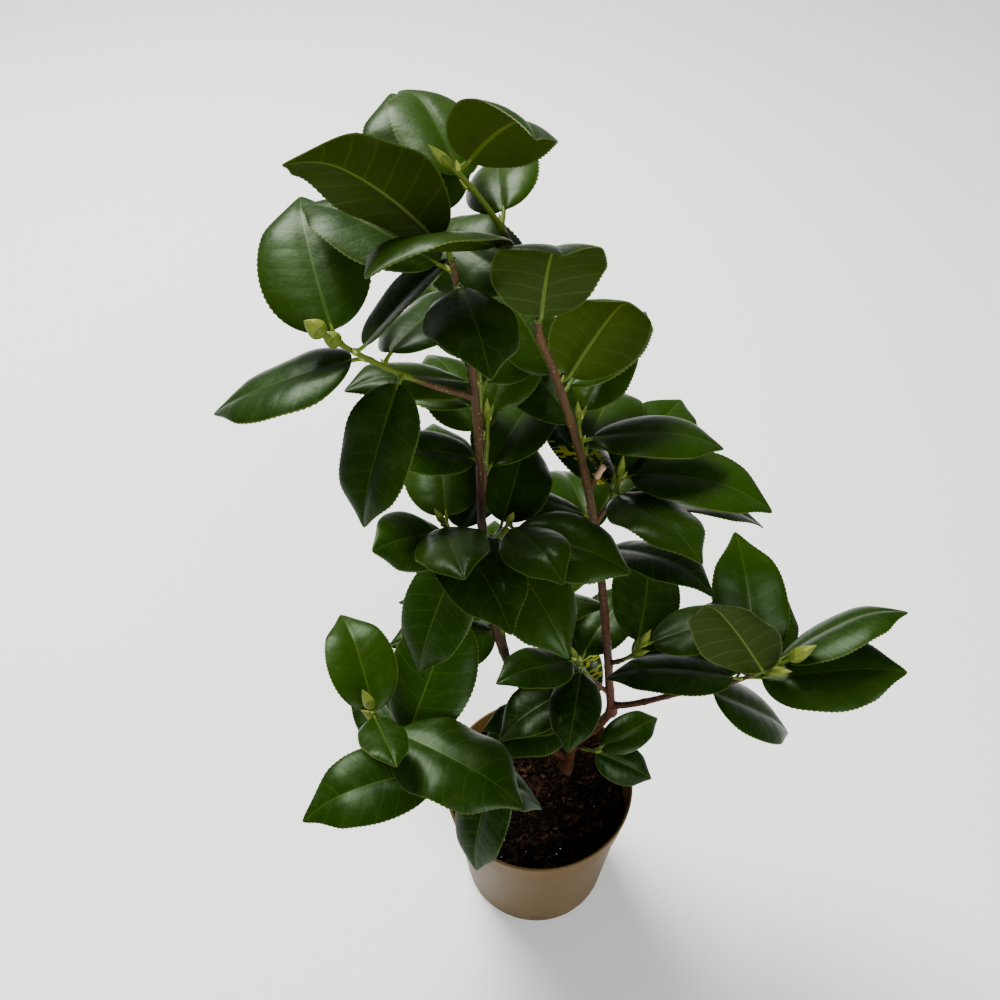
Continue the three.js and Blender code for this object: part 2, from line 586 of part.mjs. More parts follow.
// ---- compost: fills the pot to its level, lumpy on top and level under the trunk ----
function soilShell() {
  const fit = POT_WALL + GAP;
  const side = [
    [wallRadius(POT_FLOOR) - fit - 2.4, POT_FLOOR + GAP],
    [wallRadius(POT_FLOOR + 2.4) - fit - 0.2, POT_FLOOR + 2.6],
    [wallRadius(bandFoot - 1.6) - fit - 0.2, bandFoot - 1.6],
    [wallRadius(SOIL_LEVEL - 6) - fit, SOIL_LEVEL - 6],
  ];
  const rim = wallRadius(SOIL_LEVEL - 6) - fit;
  const top = [1, 0.93, 0.82, 0.7, 0.57, 0.44, 0.32, 0.2, 0.1].map((share) => rim * share);
  const count = SOIL_FACETS;
  const ring = (radius, heightAt) => Array.from({ length: count }, (_, j) => {
    const angle = (2 * Math.PI * j) / count;
    const x = radius * Math.cos(angle);
    const y = radius * Math.sin(angle);
    return [x, y, heightAt(x, y)];
  });
  const lump = (x, y) => {
    const away = Math.hypot(x - 22, y - 17);
    const calm = Math.min(1, Math.max(0, (away - 9) / 8));
    const ripple = Math.sin(0.31 * x + 1.3 * Math.sin(0.19 * y)) * Math.sin(0.27 * y + 0.6);
    const dip = 2.2 * Math.pow(Math.hypot(x, y) / rim, 6);
    return SOIL_LEVEL - calm * (dip + SOIL_LUMP * (0.5 - 0.5 * ripple));
  };
  const rings = side.map(([radius, z]) => ring(radius, () => z));
  for (const radius of top) rings.push(ring(radius, lump));
  return addRings(rings, [0, 0, POT_FLOOR + GAP], [0, 0, lump(0, 0)]);
}

// ---- trunk: a flat cut on the compost, a root flare, then a leaning taper to its fork ----
function trunkRadius(t, angle) {
  const flare = Math.exp(-t / 0.13);
  const lobes = 1 + 0.14 * flare * Math.cos(3 * angle + 0.7);
  return (limbs.trunk.radius(t) + 1.7 * flare) * lobes;
}

function trunkShell() {
  const shares = [0, 0.04, 0.09, 0.16, 0.26, 0.4, 0.56, 0.72, 0.86, 1];
  const trunk = limbShell(limbs.trunk, 14, shares, trunkRadius);
  for (let i = 0; i < 14; i += 1) trunk.points[i][2] = SOIL_LEVEL + GAP;
  trunk.points[trunk.points.length - 2][2] = SOIL_LEVEL + GAP;
  return trunk;
}

const POT_TAN = '#b08a62';
const SOIL_BROWN = '#2b1f19';
const BARK = '#7a4a30';
const LEAF_GREEN = '#2f5a2c';

addPart('pot', turned(potProfile()), POT_TAN, 0.6);
addPart('soil', geometryOf(soilShell()), SOIL_BROWN, 0.95);
addPart('trunk', geometryOf(trunkShell()), BARK, 0.8);
for (const spec of LIMBS.slice(1)) {
  const line = limbs[spec.name];
  const shell8 = limbShell(line, 8, narrowFoot(spec.end[2] > 300 ? 22 : 8), footed(line));
  addPart(spec.name, geometryOf(shell8), BARK, 0.8);
}
SHOOTS.forEach((spec, index) => addPart(spec.name, fuse(growShoot(spec, index)), LEAF_GREEN, 0.45));

export default group;
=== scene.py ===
"""A young camellia in its nursery pot, dressed for looks round its solid frame.

Sizes in the plant's tables are millimetres, as on a nursery bench, and every mesh is brought to
metres when it is made. Headings are degrees round from +X towards +Y, lifts are degrees up from
level. The front is -Y.
"""

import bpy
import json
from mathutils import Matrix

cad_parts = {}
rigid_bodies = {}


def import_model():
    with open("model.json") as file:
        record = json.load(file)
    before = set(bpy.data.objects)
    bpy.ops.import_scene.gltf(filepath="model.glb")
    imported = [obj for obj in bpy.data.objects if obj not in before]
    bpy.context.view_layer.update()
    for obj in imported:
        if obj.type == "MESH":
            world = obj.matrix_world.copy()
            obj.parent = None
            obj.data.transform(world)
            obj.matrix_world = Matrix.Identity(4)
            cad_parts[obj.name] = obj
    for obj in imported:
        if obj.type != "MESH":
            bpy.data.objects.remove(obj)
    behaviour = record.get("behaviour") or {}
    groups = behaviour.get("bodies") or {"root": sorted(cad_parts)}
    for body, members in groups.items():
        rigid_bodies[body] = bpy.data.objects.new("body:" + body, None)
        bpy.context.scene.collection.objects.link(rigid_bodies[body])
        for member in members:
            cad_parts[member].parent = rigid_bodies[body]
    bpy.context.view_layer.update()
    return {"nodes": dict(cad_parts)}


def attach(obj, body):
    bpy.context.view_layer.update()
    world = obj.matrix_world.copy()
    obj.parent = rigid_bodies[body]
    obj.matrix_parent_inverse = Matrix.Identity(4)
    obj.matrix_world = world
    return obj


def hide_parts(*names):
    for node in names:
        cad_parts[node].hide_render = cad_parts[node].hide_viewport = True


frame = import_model()

import functools
import json
import math
from itertools import combinations
from types import SimpleNamespace

import bpy
import numpy as np
from bpy.props import FloatProperty, FloatVectorProperty, IntProperty, PointerProperty

bl_info = {
    "name": "Potted camellia",
    "version": (1, 0, 0),
    "blender": (4, 5, 0),
    "location": "View3D > Sidebar > Camellia",
    "description": "Builds a young camellia shrub in its nursery pot",
    "category": "Add Mesh",
}

MM = 0.001

# The pot and its compost. The band stands out from the wall by its step.
POT_HEIGHT = 130
POT_RADIUS = 70
POT_FOOT_RADIUS = 56
POT_WALL = 1.6
POT_FLOOR = 2
BAND_HEIGHT = 24
BAND_STEP = 1.8
SOIL_LEVEL = 118
SOIL_LUMP = 1.6

# Growth. GAP keeps solids apart, CLEARANCE is how much stouter a new leaf is made when it is
# tried against what stands already, and LAST_LEAF is the share of the stem where it sits.
GAP = 0.3
PETIOLE = 6.5
PETIOLE_RADIUS = 0.9
HALF_THICKNESS = 0.8
SPREAD_OF_ROLL = 14
TURN_JITTER = 14
LIFT_JITTER = 6
CLEARANCE = 1.1
LAST_LEAF = 0.96
STEM_RADIUS = 1.7

LIMBS = [
    dict(name="trunk", start=(22, 17, SOIL_LEVEL + GAP), end=(24, 19, 158), leave=(60, 78),
         arrive=(60, 80), radii=(5.0, 4.2)),
    dict(name="left_bough", parent="trunk", at=1, end=(-46, -5, 572), leave=(172, 50),
         arrive=(200, 82), radii=(3.6, 1.9)),
    dict(name="right_bough", parent="trunk", at=0.78, end=(50, 15, 203), leave=(20, 35),
         arrive=(340, 70), radii=(3.6, 3.2)),
    dict(name="tall_bough", parent="right_bough", at=1, end=(-11, -5, 556), leave=(150, 82),
         arrive=(200, 70), radii=(3.1, 1.9)),
    dict(name="side_bough", parent="tall_bough", at=0.02, end=(102, -2, 258), leave=(330, 38),
         arrive=(340, 38), radii=(2.4, 1.8)),
    dict(name="low_bough", parent="trunk", at=0.3, end=(-62, -38, 216), leave=(195, 55),
         arrive=(215, 22), radii=(2.6, 1.9)),
]

# Each shoot is one leafy stem on a limb. first is the share of its stem below the first leaf,
# phase the heading of that leaf and step the turn from leaf to leaf. lift and curl run from the
# lowest leaf to the top one. lean draws the leaves to the back, light turns their faces up.
# poses are the leaves that have found their own way to the light: heading, lift, length, the
# heading and lift of the way the face looks, and the curl. fallen are the places whose leaf has
# dropped, buds those with a flower bud. tip is the length and radius of the end bud.
USUAL = dict(leaves=6, step=144, curl=(15, 40), first=0.25, light=0.6, lean=0.15, tip=(14, 2.4),
             poses={}, fallen=(), buds=())
SHOOTS = [{**USUAL, **spec} for spec in (
    dict(name="tall_head", limb="tall_bough", at=1, leave=(205, 84), arrive=(195, 50), length=100,
         leaves=8, phase=285, step=-144, size=66, lift=(58, 38), curl=(25, 50), first=0.1,
         light=0, lean=0.35, poses={
             0: (124, 76, 76, 80, 5, 52), 1: (140, 4, 72, 290, 62), 2: (150, 12, 62),
             3: (211, 36, 72, 90, 50), 4: (98, 14, 62), 5: (112, 16, 62, 100, 30, 35),
             6: (112, 25, 62), 7: (320, 54, 64, 70, 20)}),
    dict(name="left_head", limb="left_bough", at=1, leave=(205, 82), arrive=(186, 78), length=44,
         phase=96, step=-144, size=72, lift=(20, 62), curl=(10, 30), first=0.06, light=0,
         lean=0.3, poses={
             1: (300, 12, 60), 2: (150, 16, 70), 3: (66, 50, 80), 4: (150, 62, 80, 75, 0, 50),
             5: (116, 33, 66)}),
    dict(name="left_shoot", limb="left_bough", at=0.87, leave=(202, 32), arrive=(200, 50),
         length=87, phase=262, size=78, lift=(-30, 30), curl=(5, 25), first=0.45, light=0.8,
         lean=0, fallen=(5,), buds=(3, 4), tip=(12, 5), poses={
             0: (245, -40, 68), 2: (184, -16, 72), 3: (30, 30, 55), 4: (112, 28, 78)}),
    dict(name="upper_shoot", limb="tall_bough", at=0.82, leave=(130, 50), arrive=(120, 80),
         length=22, phase=196, step=-144, size=68, lift=(20, 66), curl=(10, 40), first=0.3,
         light=0, lean=0.3, tip=(12, 2.2), poses={
             1: (58, 14, 72), 4: (12, 64, 74, 90, 0, 50), 5: (200, 30, 60)}),
    dict(name="middle_shoot", limb="tall_bough", at=0.58, leave=(20, 55), arrive=(60, 80),
         length=30, leaves=7, phase=203, size=76, lift=(10, 35), buds=(4,), tip=(15, 2.6),
         poses={6: (347, 20, 76)}),
    dict(name="middle_back", limb="tall_bough", at=0.4, leave=(100, 40), arrive=(120, 75),
         length=42, phase=186, size=74, lift=(15, 35)),
    dict(name="left_middle", limb="left_bough", at=0.57, leave=(200, 45), arrive=(190, 70),
         length=36, phase=235, size=78, lift=(-15, 30), curl=(10, 35), poses={
             0: (240, -38, 76), 2: (228, 40, 60)}),
    dict(name="left_back", limb="left_bough", at=0.68, leave=(80, 40), arrive=(90, 75),
         length=42, phase=60, size=74, lift=(15, 40), poses={1: (178, 20, 64)}),
    dict(name="lower_shoot", limb="tall_bough", at=0.16, leave=(330, 45), arrive=(0, 75),
         length=34, phase=0, size=74, lift=(10, 30), curl=(10, 35), fallen=(2, 4), buds=(2,),
         tip=(18, 3.2)),
    dict(name="centre_shoot", limb="right_bough", at=0.62, leave=(215, 40), arrive=(210, 60),
         length=38, phase=155, size=62, lift=(10, 25), fallen=(1,), tip=(12, 2.2)),
    dict(name="side_shoot", limb="side_bough", at=1, leave=(340, 42), arrive=(345, 58), length=76,
         leaves=11, phase=330, size=68, lift=(8, 40), curl=(5, 30), first=0.04, light=0.4,
         fallen=(2,), buds=(7,), tip=(24, 5), poses={
             0: (0, -30, 74), 1: (70, 10, 70), 4: (160, 14, 80), 5: (352, 24, 86),
             6: (100, 52, 82, 270, 40), 7: (140, 46, 82, 80, 0, 45), 8: (16, 36, 80, 80, 55)}),
    dict(name="low_shoot", limb="low_bough", at=1, leave=(205, 50), arrive=(150, 72), length=100,
         leaves=9, phase=203, size=76, lift=(0, 40), curl=(10, 35), first=0.04, fallen=(3, 5),
         buds=(7,), tip=(18, 4), poses={
             0: (196, 20, 88), 1: (0, -16, 76), 4: (62, 42, 90), 6: (350, 6, 90),
             7: (105, 36, 66), 8: (292, 28, 46)}),
    dict(name="low_back", limb="left_bough", at=0.25, leave=(110, 40), arrive=(90, 65),
         length=46, phase=100, size=70, lift=(10, 35)),
    dict(name="centre_back", limb="tall_bough", at=0.06, leave=(175, 45), arrive=(160, 70),
         length=40, phase=190, size=66, lift=(5, 30), first=0.3, lean=0.1, fallen=(1,),
         tip=(12, 2.2)),
    dict(name="upper_back", limb="tall_bough", at=0.68, leave=(105, 45), arrive=(110, 75),
         length=32, phase=60, size=70, lift=(5, 35), first=0.3, tip=(12, 2.2)),
    dict(name="high_back", limb="left_bough", at=0.79, leave=(85, 42), arrive=(100, 72),
         length=36, phase=130, size=66, lift=(5, 40), first=0.3, lean=0.1, tip=(12, 2.2)),
    dict(name="front_middle", limb="left_bough", at=0.6, leave=(310, 45), arrive=(320, 72),
         length=34, phase=300, size=68, lift=(5, 35), first=0.3, lean=0.05, tip=(12, 2.2)),
    dict(name="foot_shoot", limb="low_bough", at=0.6, leave=(270, 35), arrive=(240, 40),
         length=24, leaves=4, phase=261, size=62, lift=(-22, 10), curl=(20, 50), first=0.4,
         light=0.4, lean=0, fallen=(3,), tip=(10, 2), poses={
             0: (238, -36, 76), 2: (308, -40, 52)}),
    dict(name="right_foot", limb="trunk", at=0.86, leave=(320, 25), arrive=(320, 45), length=20,
         leaves=4, phase=335, size=56, lift=(-4, 15), curl=(20, 50), first=0.5, lean=0,
         fallen=(2,), tip=(10, 2)),
)]

# Turns of heading and lift that a leaf tries, in order, where its own place is taken.
NUDGES = [(0, 0), (10, 4), (-10, 4), (10, -6), (-10, -6), (22, 8), (-22, 8), (22, -12),
          (-22, -12), (0, 18), (0, -18), (38, 6), (-38, 6)]

# The leaves are joined into pieces by where their shoots stand on the shrub.
LEAF_GROUPS = {
    "crown_leaves": ("tall_head", "left_head", "left_shoot", "upper_shoot"),
    "upper_leaves": ("high_back", "upper_back", "left_back", "left_middle"),
    "middle_leaves": ("front_middle", "middle_shoot", "middle_back"),
    "right_leaves": ("lower_shoot", "centre_shoot", "side_shoot"),
    "left_leaves": ("centre_back", "low_shoot", "low_back", "foot_shoot", "right_foot"),
}
SHOOT_NAMES = tuple(spec["name"] for spec in SHOOTS)


# ---- the growth rule, the same as the solid frame's ----

def direction(heading, lift):
    """The way of a heading h and a lift l: (cos l cos h, cos l sin h, sin l)."""
    h, l = math.radians(heading), math.radians(lift)
    return np.array((math.cos(l) * math.cos(h), math.cos(l) * math.sin(h), math.sin(l)))


def unit(vector):
    """The same way with length 1."""
    return vector / np.linalg.norm(vector, axis=-1, keepdims=True)


def square(vector, along):
    """What is left of a vector square to a way, with length 1."""
    return unit(vector - along * (vector @ along))


def blend(pair, share):
    """What lies a share of the way from the first of a pair to the second."""
    return pair[0] + (pair[1] - pair[0]) * share


def smooth(value):
    """A step from 0 to 1 with soft ends: v v (3 - 2 v), with v held between 0 and 1."""
    held = np.clip(value, 0, 1)
    return held * held * (3 - 2 * held)


def seeded(seed):
    """A run of numbers between two ends: each state is the last times 48271, modulo 2^31 - 1."""
    state = [seed]

    def draw(low, high):
        """The next number."""
        state[0] = state[0] * 48271 % 2147483647
        return low + (high - low) * state[0] / 2147483647

    for _ in range(3):
        draw(0, 1)
    return draw


class Line:
    """The middle of a limb or stem: with s = 1 - t and the knots a, b, c and d, the curve
    a s^3 + 3 b s^2 t + 3 c s t^2 + d t^3, whose ways out and in are set by heading and lift. Its
    radius runs evenly from one end to the other."""

    def __init__(self, start, end, leave, arrive, radii):
        third = np.linalg.norm(end - start) / 3
        near, far = direction(*leave) * third, direction(*arrive) * third
        self.knots = (start, start + near, end - far, end)
        self.radii = radii

    def at(self, share):
        """The point at a share of the way along."""
        t = np.asarray(share, float)[..., None]
        s = 1 - t
        a, b, c, d = self.knots
        return a * s**3 + b * 3 * s * s * t + c * 3 * s * t * t + d * t**3

    def tangent(self, share):
        """The way from a thousandth before a share to a thousandth past it."""
        t = np.asarray(share, float)
        return unit(self.at(np.minimum(1, t + 0.001)) - self.at(np.maximum(0, t - 0.001)))

    def radius(self, share):
        """The radius at a share."""
        return blend(self.radii, np.asarray(share, float))


def start_on(parent, share, leave, radius):
    """Where a stem starts on what carries it: on its end, or out along its own way from its
    middle until it clears the bark."""
    away, along = direction(*leave), parent.tangent(share)
    if share >= 1:
        return parent.at(1) + along * (GAP + 0.3 * radius)
    cosine = away @ along
    sine = math.sqrt(1 - cosine * cosine)
    reach = (parent.radius(share) + GAP + 0.1 + 0.5 * radius * abs(cosine)) / sine
    return parent.at(share) + away * reach


def round_about(sides):
    """So many angles, spread evenly over a whole turn."""
    return 2 * np.pi * np.arange(sides) / sides


def rings_round(centres, along, radii, sides, across=(0, 1, 0)):
    """Rings of points round a path: centre + radius * (cos of the angle along one square way +
    sin of it along the other). radii is one number a ring, or one for each point of it."""
    side = unit(np.cross(along, across))
    front = np.cross(along, side)
    angle = round_about(sides)
    radii = np.broadcast_to(np.asarray(radii).reshape(len(centres), -1), (len(centres), sides))
    out = side[:, None] * np.cos(angle)[:, None] + front[:, None] * np.sin(angle)[:, None]
    return centres[:, None] + out * radii[..., None]


def closed(rings, foot, tip):
    """A closed shell: each ring joined to the next by four-sided cells, and a fan of triangles
    to a point at each end. Gives the points, the cells and the fans."""
    rings = np.asarray(rings)
    count, sides = rings.shape[:2]
    points = np.vstack((rings.reshape(-1, 3), foot, tip))
    a = np.arange((count - 1) * sides)
    b = a - a % sides + (a + 1) % sides
    j = np.arange(sides)
    k, last = (j + 1) % sides, (count - 1) * sides
    low, high = np.full(sides, count * sides), np.full(sides, count * sides + 1)
    fans = np.vstack((np.stack((k, j, low), 1), np.stack((last + j, last + k, high), 1)))
    return points, np.stack((a, b, b + sides, a + sides), 1), fans


def corners(points, cells, fans):
    """The corners of a shell's triangles, each cell split in two."""
    return points[np.vstack((cells[:, [0, 1, 2]], cells[:, [0, 2, 3]], fans))]


def stout_limb(line):
    """The triangles of a six-sided tube, 0.9 mm stouter than the limb, for the leaves to miss."""
    shares = np.linspace(0, 1, 13)
    rings = rings_round(line.at(shares), line.tangent(shares), line.radius(shares) + 0.9, 6)
    return corners(*closed(rings, line.at(0), line.at(1)))


def stout_bud(foot, way, length, radius):
    """The triangles of a bud of five rings of seven points, pointed at both ends."""
    shares, full = np.array(((0, 0.45), (0.2, 0.88), (0.42, 1), (0.68, 0.74), (0.88, 0.32))).T
    centres = foot + way * (shares * length)[:, None]
    along = np.broadcast_to(way, centres.shape)
    rings = rings_round(centres, along, full * radius, 7, (0.3, 1, 0.1))
    return corners(*closed(rings, foot, foot + way * length))


def outline(t):
    """Half the blade's width at share t, 1 at the fullest: t^0.5 * (1 - t)^0.62, over its peak,
    drawn in by up to a half over the last quarter."""
    full = (0.5 / 1.12) ** 0.5 * (0.62 / 1.12) ** 0.62
    drawn = 1 - 0.5 * smooth((t - 0.76) / 0.24)
    return np.power(t, 0.5) * np.power(np.maximum(0, 1 - t), 0.62) * drawn / full


def blade(leaf, t, v):
    """The blade's middle surface, share t along and v across (-1 to 1): the midrib bends on an
    arc with a hooked tip and a sway, and the two halves twist, fold up, cup over and ripple."""
    t, v = np.broadcast_arrays(np.asarray(t, float), np.asarray(v, float))
    turn = leaf.curl * t
    hook = np.clip((t - 0.65) / 0.35, 0, 1)
    along = leaf.length * np.sin(turn) / leaf.curl
    down = leaf.length * (1 - np.cos(turn)) / leaf.curl + leaf.hook * leaf.length * hook * hook
    sway = leaf.sway * leaf.length * t * t
    point = leaf.base + leaf.way * along[..., None] - leaf.face * down[..., None]
    point = point + leaf.side * sway[..., None]
    face = leaf.way * np.sin(turn)[..., None] + leaf.face * np.cos(turn)[..., None]
    c, s = np.cos(leaf.twist * t)[..., None], np.sin(leaf.twist * t)[..., None]
    half = leaf.width / 2 * outline(t)
    ripple = np.sin(2 * np.pi * leaf.waves * t + leaf.phase + np.sign(v) * 1.1)
    rise = half * (leaf.fold * np.abs(v) - leaf.cup * v * v)
    rise = rise + 2 * leaf.wave * half * v * v * ripple
    across = leaf.side * c + face * s
    up = face * c - leaf.side * s
    return point + across * (v * half)[..., None] + up * rise[..., None]


def rib_up(leaf, t):
    """The way the upper side looks at a share of the midrib, square to its arc and hook."""
    hook = max(0.0, (t - 0.65) / 0.35)
    down = math.sin(leaf.curl * t) + 2 * leaf.hook * hook / 0.35
    return unit(leaf.way * down + leaf.face * math.cos(leaf.curl * t))


def coarse_leaf(leaf, swell=0.0):
    """The leaf as the solids have it: two rings of the stalk, four of the blade, and its tip.
    Gives all its points, and the corners of the triangles past the stalk."""
    r = PETIOLE_RADIUS + swell

    def ring(centre, left, right, up):
        """Four points round: left, over, right and under."""
        return left, centre + up, right, centre - up

    across, up = leaf.side * r, leaf.face * r
    stalk = [ring(p, p - across, p + across, up) for p in (leaf.root, leaf.base)]
    rings = list(stalk)
    for t in (0.12, 0.34, 0.6, 0.84):
        reach = 1 + swell / (0.5 * leaf.width * outline(t))
        left, centre, right = blade(leaf, t, np.array((-1.0, 0.0, 1.0)))
        left, right = centre + (left - centre) * reach, centre + (right - centre) * reach
        rings.append(ring(centre, left, right, rib_up(leaf, t) * (HALF_THICKNESS + swell)))
    tip, back = blade(leaf, np.array((1.0, 0.84)), 0)
    points, cells, fans = closed(rings, leaf.root, tip + unit(tip - back) * swell)
    odd = (np.arange(len(cells)) % 2 == 1)[:, None]
    first = np.where(odd, cells[:, [0, 1, 3]], cells[:, [0, 1, 2]])
    second = np.where(odd, cells[:, [1, 2, 3]], cells[:, [0, 2, 3]])
    faces = np.vstack((first, second, fans))
    past = faces[((faces > 3) & (faces != len(points) - 2)).all(1)]
    return points, points[past]


def crosses(some, others):
    """Whether an edge of one set of triangles goes through a triangle of the other."""
    if not len(others):
        return False
    low, high = some.min((0, 1)), some.max((0, 1))
    near = others[((others.max(1) >= low) & (others.min(1) <= high)).all(1)]
    for edges, faces in ((some, near), (near, some)) if len(near) else ():
        start = edges.reshape(-1, 3)[:, None]
        way = (np.roll(edges, -1, 1) - edges).reshape(-1, 3)[:, None]
        e1, e2 = faces[:, 1] - faces[:, 0], faces[:, 2] - faces[:, 0]
        h = np.cross(way, e2)
        det = (e1 * h).sum(-1)
        safe = np.where(np.abs(det) < 1e-9, np.inf, det)
        s = start - faces[:, 0]
        q = np.cross(s, e1)
        u, v, w = (s * h).sum(-1) / safe, (way * q).sum(-1) / safe, (e2 * q).sum(-1) / safe
        met = (u >= 0) & (v >= 0) & (u + v <= 1) & (w >= 0) & (w <= 1)
        if (met & np.isfinite(safe)).any():
            return True
    return False


def clear_of_pot(points):
    """Whether no point is close over the compost, on the pot's rim or near the ground."""
    x, y, z = points.T
    r = np.hypot(x, y)
    over_soil = (z < SOIL_LEVEL + 5) & (r < POT_RADIUS + 4)
    on_rim = (z < POT_HEIGHT + 3) & (r > POT_RADIUS - 6) & (r < POT_RADIUS + 4)
    return not (over_soil | on_rim | (z <= 3)).any()


def make_leaf(spec, stem, share, turn, lift, nudge, habit, pose):
    """One leaf on a stem: its stalk leaves sideways, its blade goes the way of its turn and
    lift, or the way of its pose."""
    up = np.array((0.0, 0.0, 1.0))
    axis = unit(stem.tangent(share) * 0.35 + up * 0.65)
    east = square(np.array((1.0, 0.0, 0.0)), axis)
    angle, rise = math.radians(turn + nudge[0]), math.radians(lift + nudge[1])
    out = east * math.cos(angle) + np.cross(axis, east) * math.sin(angle)
    way = out * math.cos(rise) + axis * math.sin(rise)
    way = unit(way + np.array((0, spec["lean"], 0)))
    if pose:
        way = direction(pose[0] + nudge[0], pose[1] + nudge[1])
    faced = pose and len(pose) > 3
    face = square(direction(pose[3], pose[4]) if faced else axis - out * 0.5, way)
    if not faced:
        face = square(face + (up - way * way[2]) * spec["light"], way)
    flat, roll = np.cross(way, face), math.radians(habit["roll"])
    root = stem.at(share)
    foot = unit(out + axis * 0.5)
    base = root + foot * (stem.radius(share) + PETIOLE * 0.6) + way * (PETIOLE * 0.4)
    return SimpleNamespace(
        **habit, way=way, root=root, foot=foot, base=base, out=out, share=share,
        face=face * math.cos(roll) + flat * math.sin(roll),
        side=flat * math.cos(roll) - face * math.sin(roll),
    )


def seat(spec, k):
    """Share of the stem where leaf k sits: the leaves stand closer and closer to the tip."""
    rank = k / (spec["leaves"] - 1)
    return spec["first"] + (LAST_LEAF - spec["first"]) * rank**0.85


def grow_shoot(spec, index, stem, woody, leafy):
    """The leaves and side buds of one shoot. Each leaf takes the first nudge that keeps it clear
    of the pot, the wood and the leaves before it, and drops if there is no such nudge."""
    draw, leaves, buds = seeded(1000 + 37 * index), [], []
    for k in range(spec["leaves"]):
        rank = k / (spec["leaves"] - 1)
        share = seat(spec, k)
        turn = spec["phase"] + spec["step"] * k + draw(-TURN_JITTER, TURN_JITTER)
        lift = blend(spec["lift"], rank) + draw(-LIFT_JITTER, LIFT_JITTER)
        pose = spec["poses"].get(k)
        length = spec["size"] * draw(0.88, 1.06) * (0.86 if k == spec["leaves"] - 1 else 1)
        habit = dict(length=pose[2] if pose and len(pose) > 2 else length)
        habit["roll"] = draw(-SPREAD_OF_ROLL, SPREAD_OF_ROLL)
        habit["curl"] = math.radians(draw(*spec["curl"]))
        habit["hook"], habit["sway"] = draw(0.03, 0.14), draw(-0.08, 0.08)
        habit["twist"] = math.radians(draw(-16, 16))
        for name, ends in (("fold", (0.12, 0.38)), ("cup", (0.2, 0.55)), ("wave", (0, 0.05)),
                           ("waves", (1.2, 2.2)), ("phase", (0, 2 * math.pi))):
            habit[name] = draw(*ends)
        habit["width"] = habit["length"] * draw(0.56, 0.66)
        if pose and len(pose) > 5:
            habit["curl"] = math.radians(pose[5])
        if k in spec["fallen"]:
            continue
        for nudge in NUDGES:
            leaf = make_leaf(spec, stem, share, turn, lift, nudge, habit, pose)
            points, stout = coarse_leaf(leaf, CLEARANCE)
            if not clear_of_pot(points[4:]) or crosses(stout, woody):
                continue
            if not crosses(stout, leafy[0]):
                leafy[0] = np.concatenate((leafy[0], coarse_leaf(leaf)[1]))
                leaf.place, leaf.rank = (spec["name"], k), rank
                leaves.append(leaf)
                break
    for k in spec["buds"]:
        share = seat(spec, k)
        away = direction(spec["phase"] + spec["step"] * k + 50, 30)
        way = unit(away + stem.tangent(share) * 0.8)
        bud = (stem.at(share), way, 0.9 * spec["tip"][0], 0.85 * spec["tip"][1])
        if not crosses(stout_bud(*bud), leafy[0]):
            leafy[0] = np.concatenate((leafy[0], stout_bud(*bud)))
            buds.append(bud)
    return leaves, buds


@functools.lru_cache(maxsize=None)
def grown():
    """The whole shrub: its limbs, its stems, and the leaves and buds of each shoot."""
    limbs, stems = {}, {}
    for spec in LIMBS:
        end, parent = np.array(spec["end"], float), limbs.get(spec.get("parent"))
        start = np.array(spec.get("start", (0, 0, 0)), float)
        if parent:
            start = start_on(parent, spec["at"], spec["leave"], spec["radii"][0])
        limbs[spec["name"]] = Line(start, end, spec["leave"], spec["arrive"], spec["radii"])
    for spec in SHOOTS:
        limb = limbs[spec["limb"]]
        radius = min(STEM_RADIUS, 0.9 * float(limb.radius(spec["at"])))
        start = start_on(limb, spec["at"], spec["leave"], radius)
        way = unit(direction(*spec["leave"]) + direction(*spec["arrive"]))
        end = start + way * spec["length"]
        stems[spec["name"]] = Line(start, end, spec["leave"], spec["arrive"], (radius, 1))
    woody = [stout_limb(line) for line in (*limbs.values(), *stems.values())]
    tips = {}
    for spec in SHOOTS:
        stem = stems[spec["name"]]
        tips[spec["name"]] = (stem.at(0.985), stem.tangent(1), *spec["tip"])
        woody.append(stout_bud(*tips[spec["name"]]))
    woody, leafy = np.concatenate(woody), [np.zeros((0, 3, 3))]
    leaves, buds = {}, {}
    for index, spec in enumerate(SHOOTS):
        name = spec["name"]
        leaves[name], side = grow_shoot(spec, index, stems[name], woody, leafy)
        buds[name] = [tips[name], *side]
    return SimpleNamespace(limbs=limbs, stems=stems, leaves=leaves, buds=buds)


# ---- finishes ----

class Wire:
    """The output of a shader node. A sum, difference or product written on it adds a node."""

    def __init__(self, finish, socket):
        self.finish, self.socket = finish, socket

    def sum(self, operation, *terms):
        """Adds the node that works out one sum."""
        return self.finish.node("ShaderNodeMath", dict(operation=operation), dict(enumerate(terms)))

    def __add__(self, other):
        return self.sum("ADD", self, other)

    def __sub__(self, other):
        return self.sum("SUBTRACT", self, other)

    def __rsub__(self, other):
        return self.sum("SUBTRACT", other, self)

    def __mul__(self, other):
        return self.sum("MULTIPLY", self, other)

    __radd__, __rmul__ = __add__, __mul__


